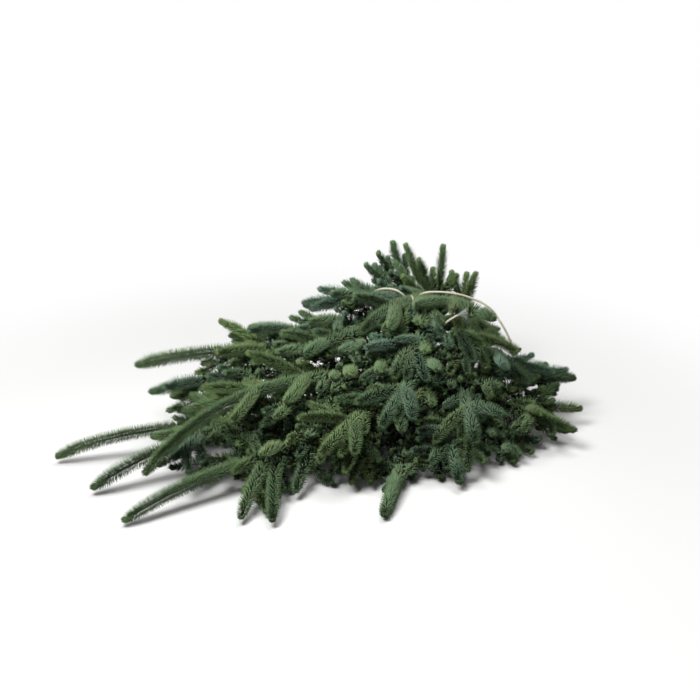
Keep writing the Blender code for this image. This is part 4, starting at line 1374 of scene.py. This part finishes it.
def press_under_twine(places):
    """Moves needles that lie over the twine towards the middle of the bundle, until they pass under it."""
    reach = PRESSED_FAR + PRESSED_HIGH
    low, high = pressing_lines.min(axis=0) - reach, pressing_lines.max(axis=0) + reach
    near = np.nonzero(((places > low) & (places < high)).all(axis=1))[0]
    for index in near:
        place = Vector(places[index])
        spot, _, distance = pressing_cloud.find(place)
        if distance > reach:
            continue
        outward = spot - NECK_MIDDLE
        outward = (outward - AHEAD * outward.dot(AHEAD)).normalized()
        offset = place - spot
        height = offset.dot(outward)
        beside = (offset - outward * height).length
        if height > -TWINE_ROOM and beside < PRESSED_FAR:
            share = 1 - smoothstep((beside - PRESSED_NEAR) / (PRESSED_FAR - PRESSED_NEAR))
            places[index] = place - outward * (height + TWINE_ROOM) * share


def settle(made):
    """Presses a piece under the twine and flat on the floor, and holds its ends inside the frame's box."""
    places = np.empty(len(made.data.vertices) * 3, np.float32)
    made.data.vertices.foreach_get("co", places)
    places = places.reshape(-1, 3)
    press_under_twine(places)
    low = frame_low + (0.0, 0.0, FLOOR_GAP)
    places = low + SOFTNESS * np.logaddexp(0.0, (places - low) / SOFTNESS)
    places = frame_high - SOFTNESS * np.logaddexp(0.0, (frame_high - places) / SOFTNESS)
    made.data.vertices.foreach_set("co", np.maximum(places, low).astype(np.float32).ravel())
    made.data.update()


def grown_on_branches(title, tree, values, with_bare_wood):
    """One piece for each branch, which a tree grows along the branch's guide lines."""
    pieces = []
    for number in range(len(BRANCHES)):
        name = f"{title}_{number + 1:02d}"
        chains = [guide.chain[0 if with_bare_wood else guide.bare:]
                  for guide in guides if guide.branch == number]
        made = grown_object(name, chain_mesh(name + "_guides", chains), tree, values)
        settle(made)
        pieces.append(made)
    return pieces


# %% [markdown]
# All needles of a branch become one piece, so that a reader can hide or restyle a branch at a time. The
# needle that was copied has done its work then, and goes.

# %% Needles on every branch
NEEDLE_HALF_WIDTH = 1.25 * MM
CROWN_NEEDLES = 40                       # round each bud

needle_pieces = grown_on_branches("needles", needle_tree(), {
    "Needle": needle_object, "Half width": NEEDLE_HALF_WIDTH, "Crown": CROWN_NEEDLES,
    "Material": needle_material}, with_bare_wood=False)
bpy.data.objects.remove(needle_object)
needle_triangles = [count_triangles(made.data) for made in needle_pieces]
print(sum(needle_triangles), "triangles of needles, at most", max(needle_triangles), "on a branch")

# %% [markdown]
# ## Bark
#
# Fir bark is thin and finely cracked. It shows at the cut ends, where it is dry and grey-brown, and here and
# there between the needles, where it lies in their shade and is brown with mossy green patches, painted
# nearly black as painted shade. A tube along each line is all the shape it needs, with the thickness that
# the guide points store. The guide points also say where the wood is bare.

# %% Fir bark
BARK_CRACKS = 420.0                      # per metre, so each is about 2.4 mm wide,
BARK_PATCHES = 45.0                      # and each patch about 22 mm
STEM_SIDES = 5


def fir_bark_material():
    material, tree, shader = new_material("fir_bark")
    place = add(tree, "ShaderNodeTexCoord", output="Object")
    cracks = add(tree, "ShaderNodeTexNoise", {"Vector": place, "Scale": BARK_CRACKS, "Detail": 4.0})
    patches = add(tree, "ShaderNodeTexNoise", {"Vector": place, "Scale": BARK_PATCHES, "Detail": 2.0})
    # Bark among the needles: brown with cracks and mossy patches, painted very dark as painted shade from
    # the needles.
    brown = add(tree, MIX, {0: cracks, 6: linear("#14130C"), 7: linear("#332C20")}, data_type="RGBA",
                output=2)
    mossy = add(tree, MATH, patches, 2.0, -0.7, operation="MULTIPLY_ADD", use_clamp=True)
    brown = add(tree, MIX, {0: mossy, 6: brown, 7: linear("#333B22")}, data_type="RGBA", output=2)
    # Bark on the bare stretch at the cut end: dry grey-brown, in the open and without painted shade.
    grey = add(tree, MIX, {0: cracks, 6: linear("#4A3E31"), 7: linear("#8C7E6A")}, data_type="RGBA",
               output=2)
    bare = add(tree, "ShaderNodeAttribute", attribute_name="bare_wood", output="Fac")
    brown = add(tree, MIX, {0: bare, 6: brown, 7: grey}, data_type="RGBA", output=2)
    bump = add(tree, "ShaderNodeBump", {"Height": cracks, "Strength": 0.5, "Distance": 0.4 * MM})
    tree.links.new(brown, shader["Base Color"])
    tree.links.new(bump, shader["Normal"])
    shader["Roughness"].default_value = 0.78
    return material


def tube_tree():
    """A round tube along every chain of a mesh, as thick as its points say, with closed ends."""
    tree, given = new_tree("tubes", {"Sides": "int", "Material": "material"})
    curve = add(tree, "GeometryNodeMeshToCurve", given["Geometry"])
    section = add(tree, "GeometryNodeCurvePrimitiveCircle", {"Resolution": given["Sides"], "Radius": 1.0})
    tube = add(tree, "GeometryNodeCurveToMesh",
               {"Curve": curve, "Profile Curve": section, "Scale": add(tree, NAMED, "radius"),
                "Fill Caps": True})
    tube = add(tree, "GeometryNodeSetShadeSmooth", tube)
    finish_tree(tree, tube, given["Material"], WORK_VALUES)
    return tree


bark_pieces = grown_on_branches("bark", tube_tree(), {
    "Sides": STEM_SIDES, "Material": fir_bark_material()}, with_bare_wood=True)
print(sum(count_triangles(made.data) for made in bark_pieces), "triangles of bark")

# %% [markdown]
# ## Sawn ends
#
# At the back each stem ends in a clean cut: pale, slightly yellow sapwood with fine year rings, a darker
# pith in the middle and a thin line of bark round it. A branch of this size is about eight years old. The
# cuts are thin discs on the ends of the stems. Each has a UV map that runs from -1 to 1 across it, so the
# material draws the rings from the distance to the middle.

# %% Sawn fir wood
YEARS = 8
PITH = 0.5 / YEARS                       # radius of the pith, as a share of the stem's
RIM = 0.90                               # the wood ends at this share of the radius
LATE_WOOD = 3.0                          # each year ring darkens towards its end by this power
CUT_SIDES = 20
CUT_DEPTH = 0.5 * MM                     # how far a disc stands out of its stem


def sawn_wood_material():
    material, tree, shader = new_material("sawn_fir_wood")
    place = add(tree, "ShaderNodeUVMap", uv_map="cut")
    distance = add(tree, VECTOR, place, operation="LENGTH", output="Value")
    rings = add(tree, MATH, add(tree, MATH, distance, YEARS, operation="MULTIPLY"), operation="FRACT")
    late = add(tree, MATH, rings, LATE_WOOD, operation="POWER")
    pith = add(tree, MATH, distance, PITH, operation="LESS_THAN")
    rim = add(tree, MATH, distance, RIM, operation="GREATER_THAN")
    wood = linear("#D8C49C")
    for share, colour in ((late, "#B08F5E"), (pith, "#7A5A38"), (rim, "#4A3E31")):
        wood = add(tree, MIX, {0: share, 6: wood, 7: linear(colour)}, data_type="RGBA", output=2)
    tree.links.new(wood, shader["Base Color"])
    shader["Roughness"].default_value = 0.7
    return material


def cut_ends():
    """One disc on the cut end of every main stem, with closed sides."""
    made = bmesh.new()
    layer = made.loops.layers.uv.new("cut")
    for shoot in shoots:
        if not shoot.is_leader:
            continue
        start, heading = along(shoot.points, 0.0)
        turn = heading.to_track_quat("-Z", "Y").to_matrix().to_4x4()
        middle = Matrix.Translation(start) @ turn
        disc = bmesh.ops.create_cone(made, cap_ends=True, cap_tris=True, segments=CUT_SIDES,
                                     radius1=CUT_STEM, radius2=CUT_STEM * RIM, depth=2 * CUT_DEPTH,
                                     matrix=middle)
        inverse = middle.inverted()
        for face in {face for corner in disc["verts"] for face in corner.link_faces}:
            for loop in face.loops:
                local = inverse @ loop.vert.co
                loop[layer].uv = (local.x / CUT_STEM, local.y / CUT_STEM)
    mesh = bpy.data.meshes.new("cut_ends")
    made.to_mesh(mesh)
    made.free()
    mesh.materials.append(sawn_wood_material())
    return new_object("cut_ends", mesh)


sawn_ends = cut_ends()
settle(sawn_ends)
print(count_triangles(sawn_ends.data), "triangles of sawn ends")

# %% [markdown]
# ## Onto the frame
#
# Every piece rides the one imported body. A branch's needles stand in place of that branch's solids, and its
# bark and its sawn end come with them.

# %% Ride the frame
for number, (needles, bark) in enumerate(zip(needle_pieces, bark_pieces)):
    own_nodes = [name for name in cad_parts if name.startswith(f"branch_{number + 1:02d}_")]
    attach(needles, "root")
    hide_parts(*own_nodes)
    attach(bark, "root")
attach(sawn_ends, "root")
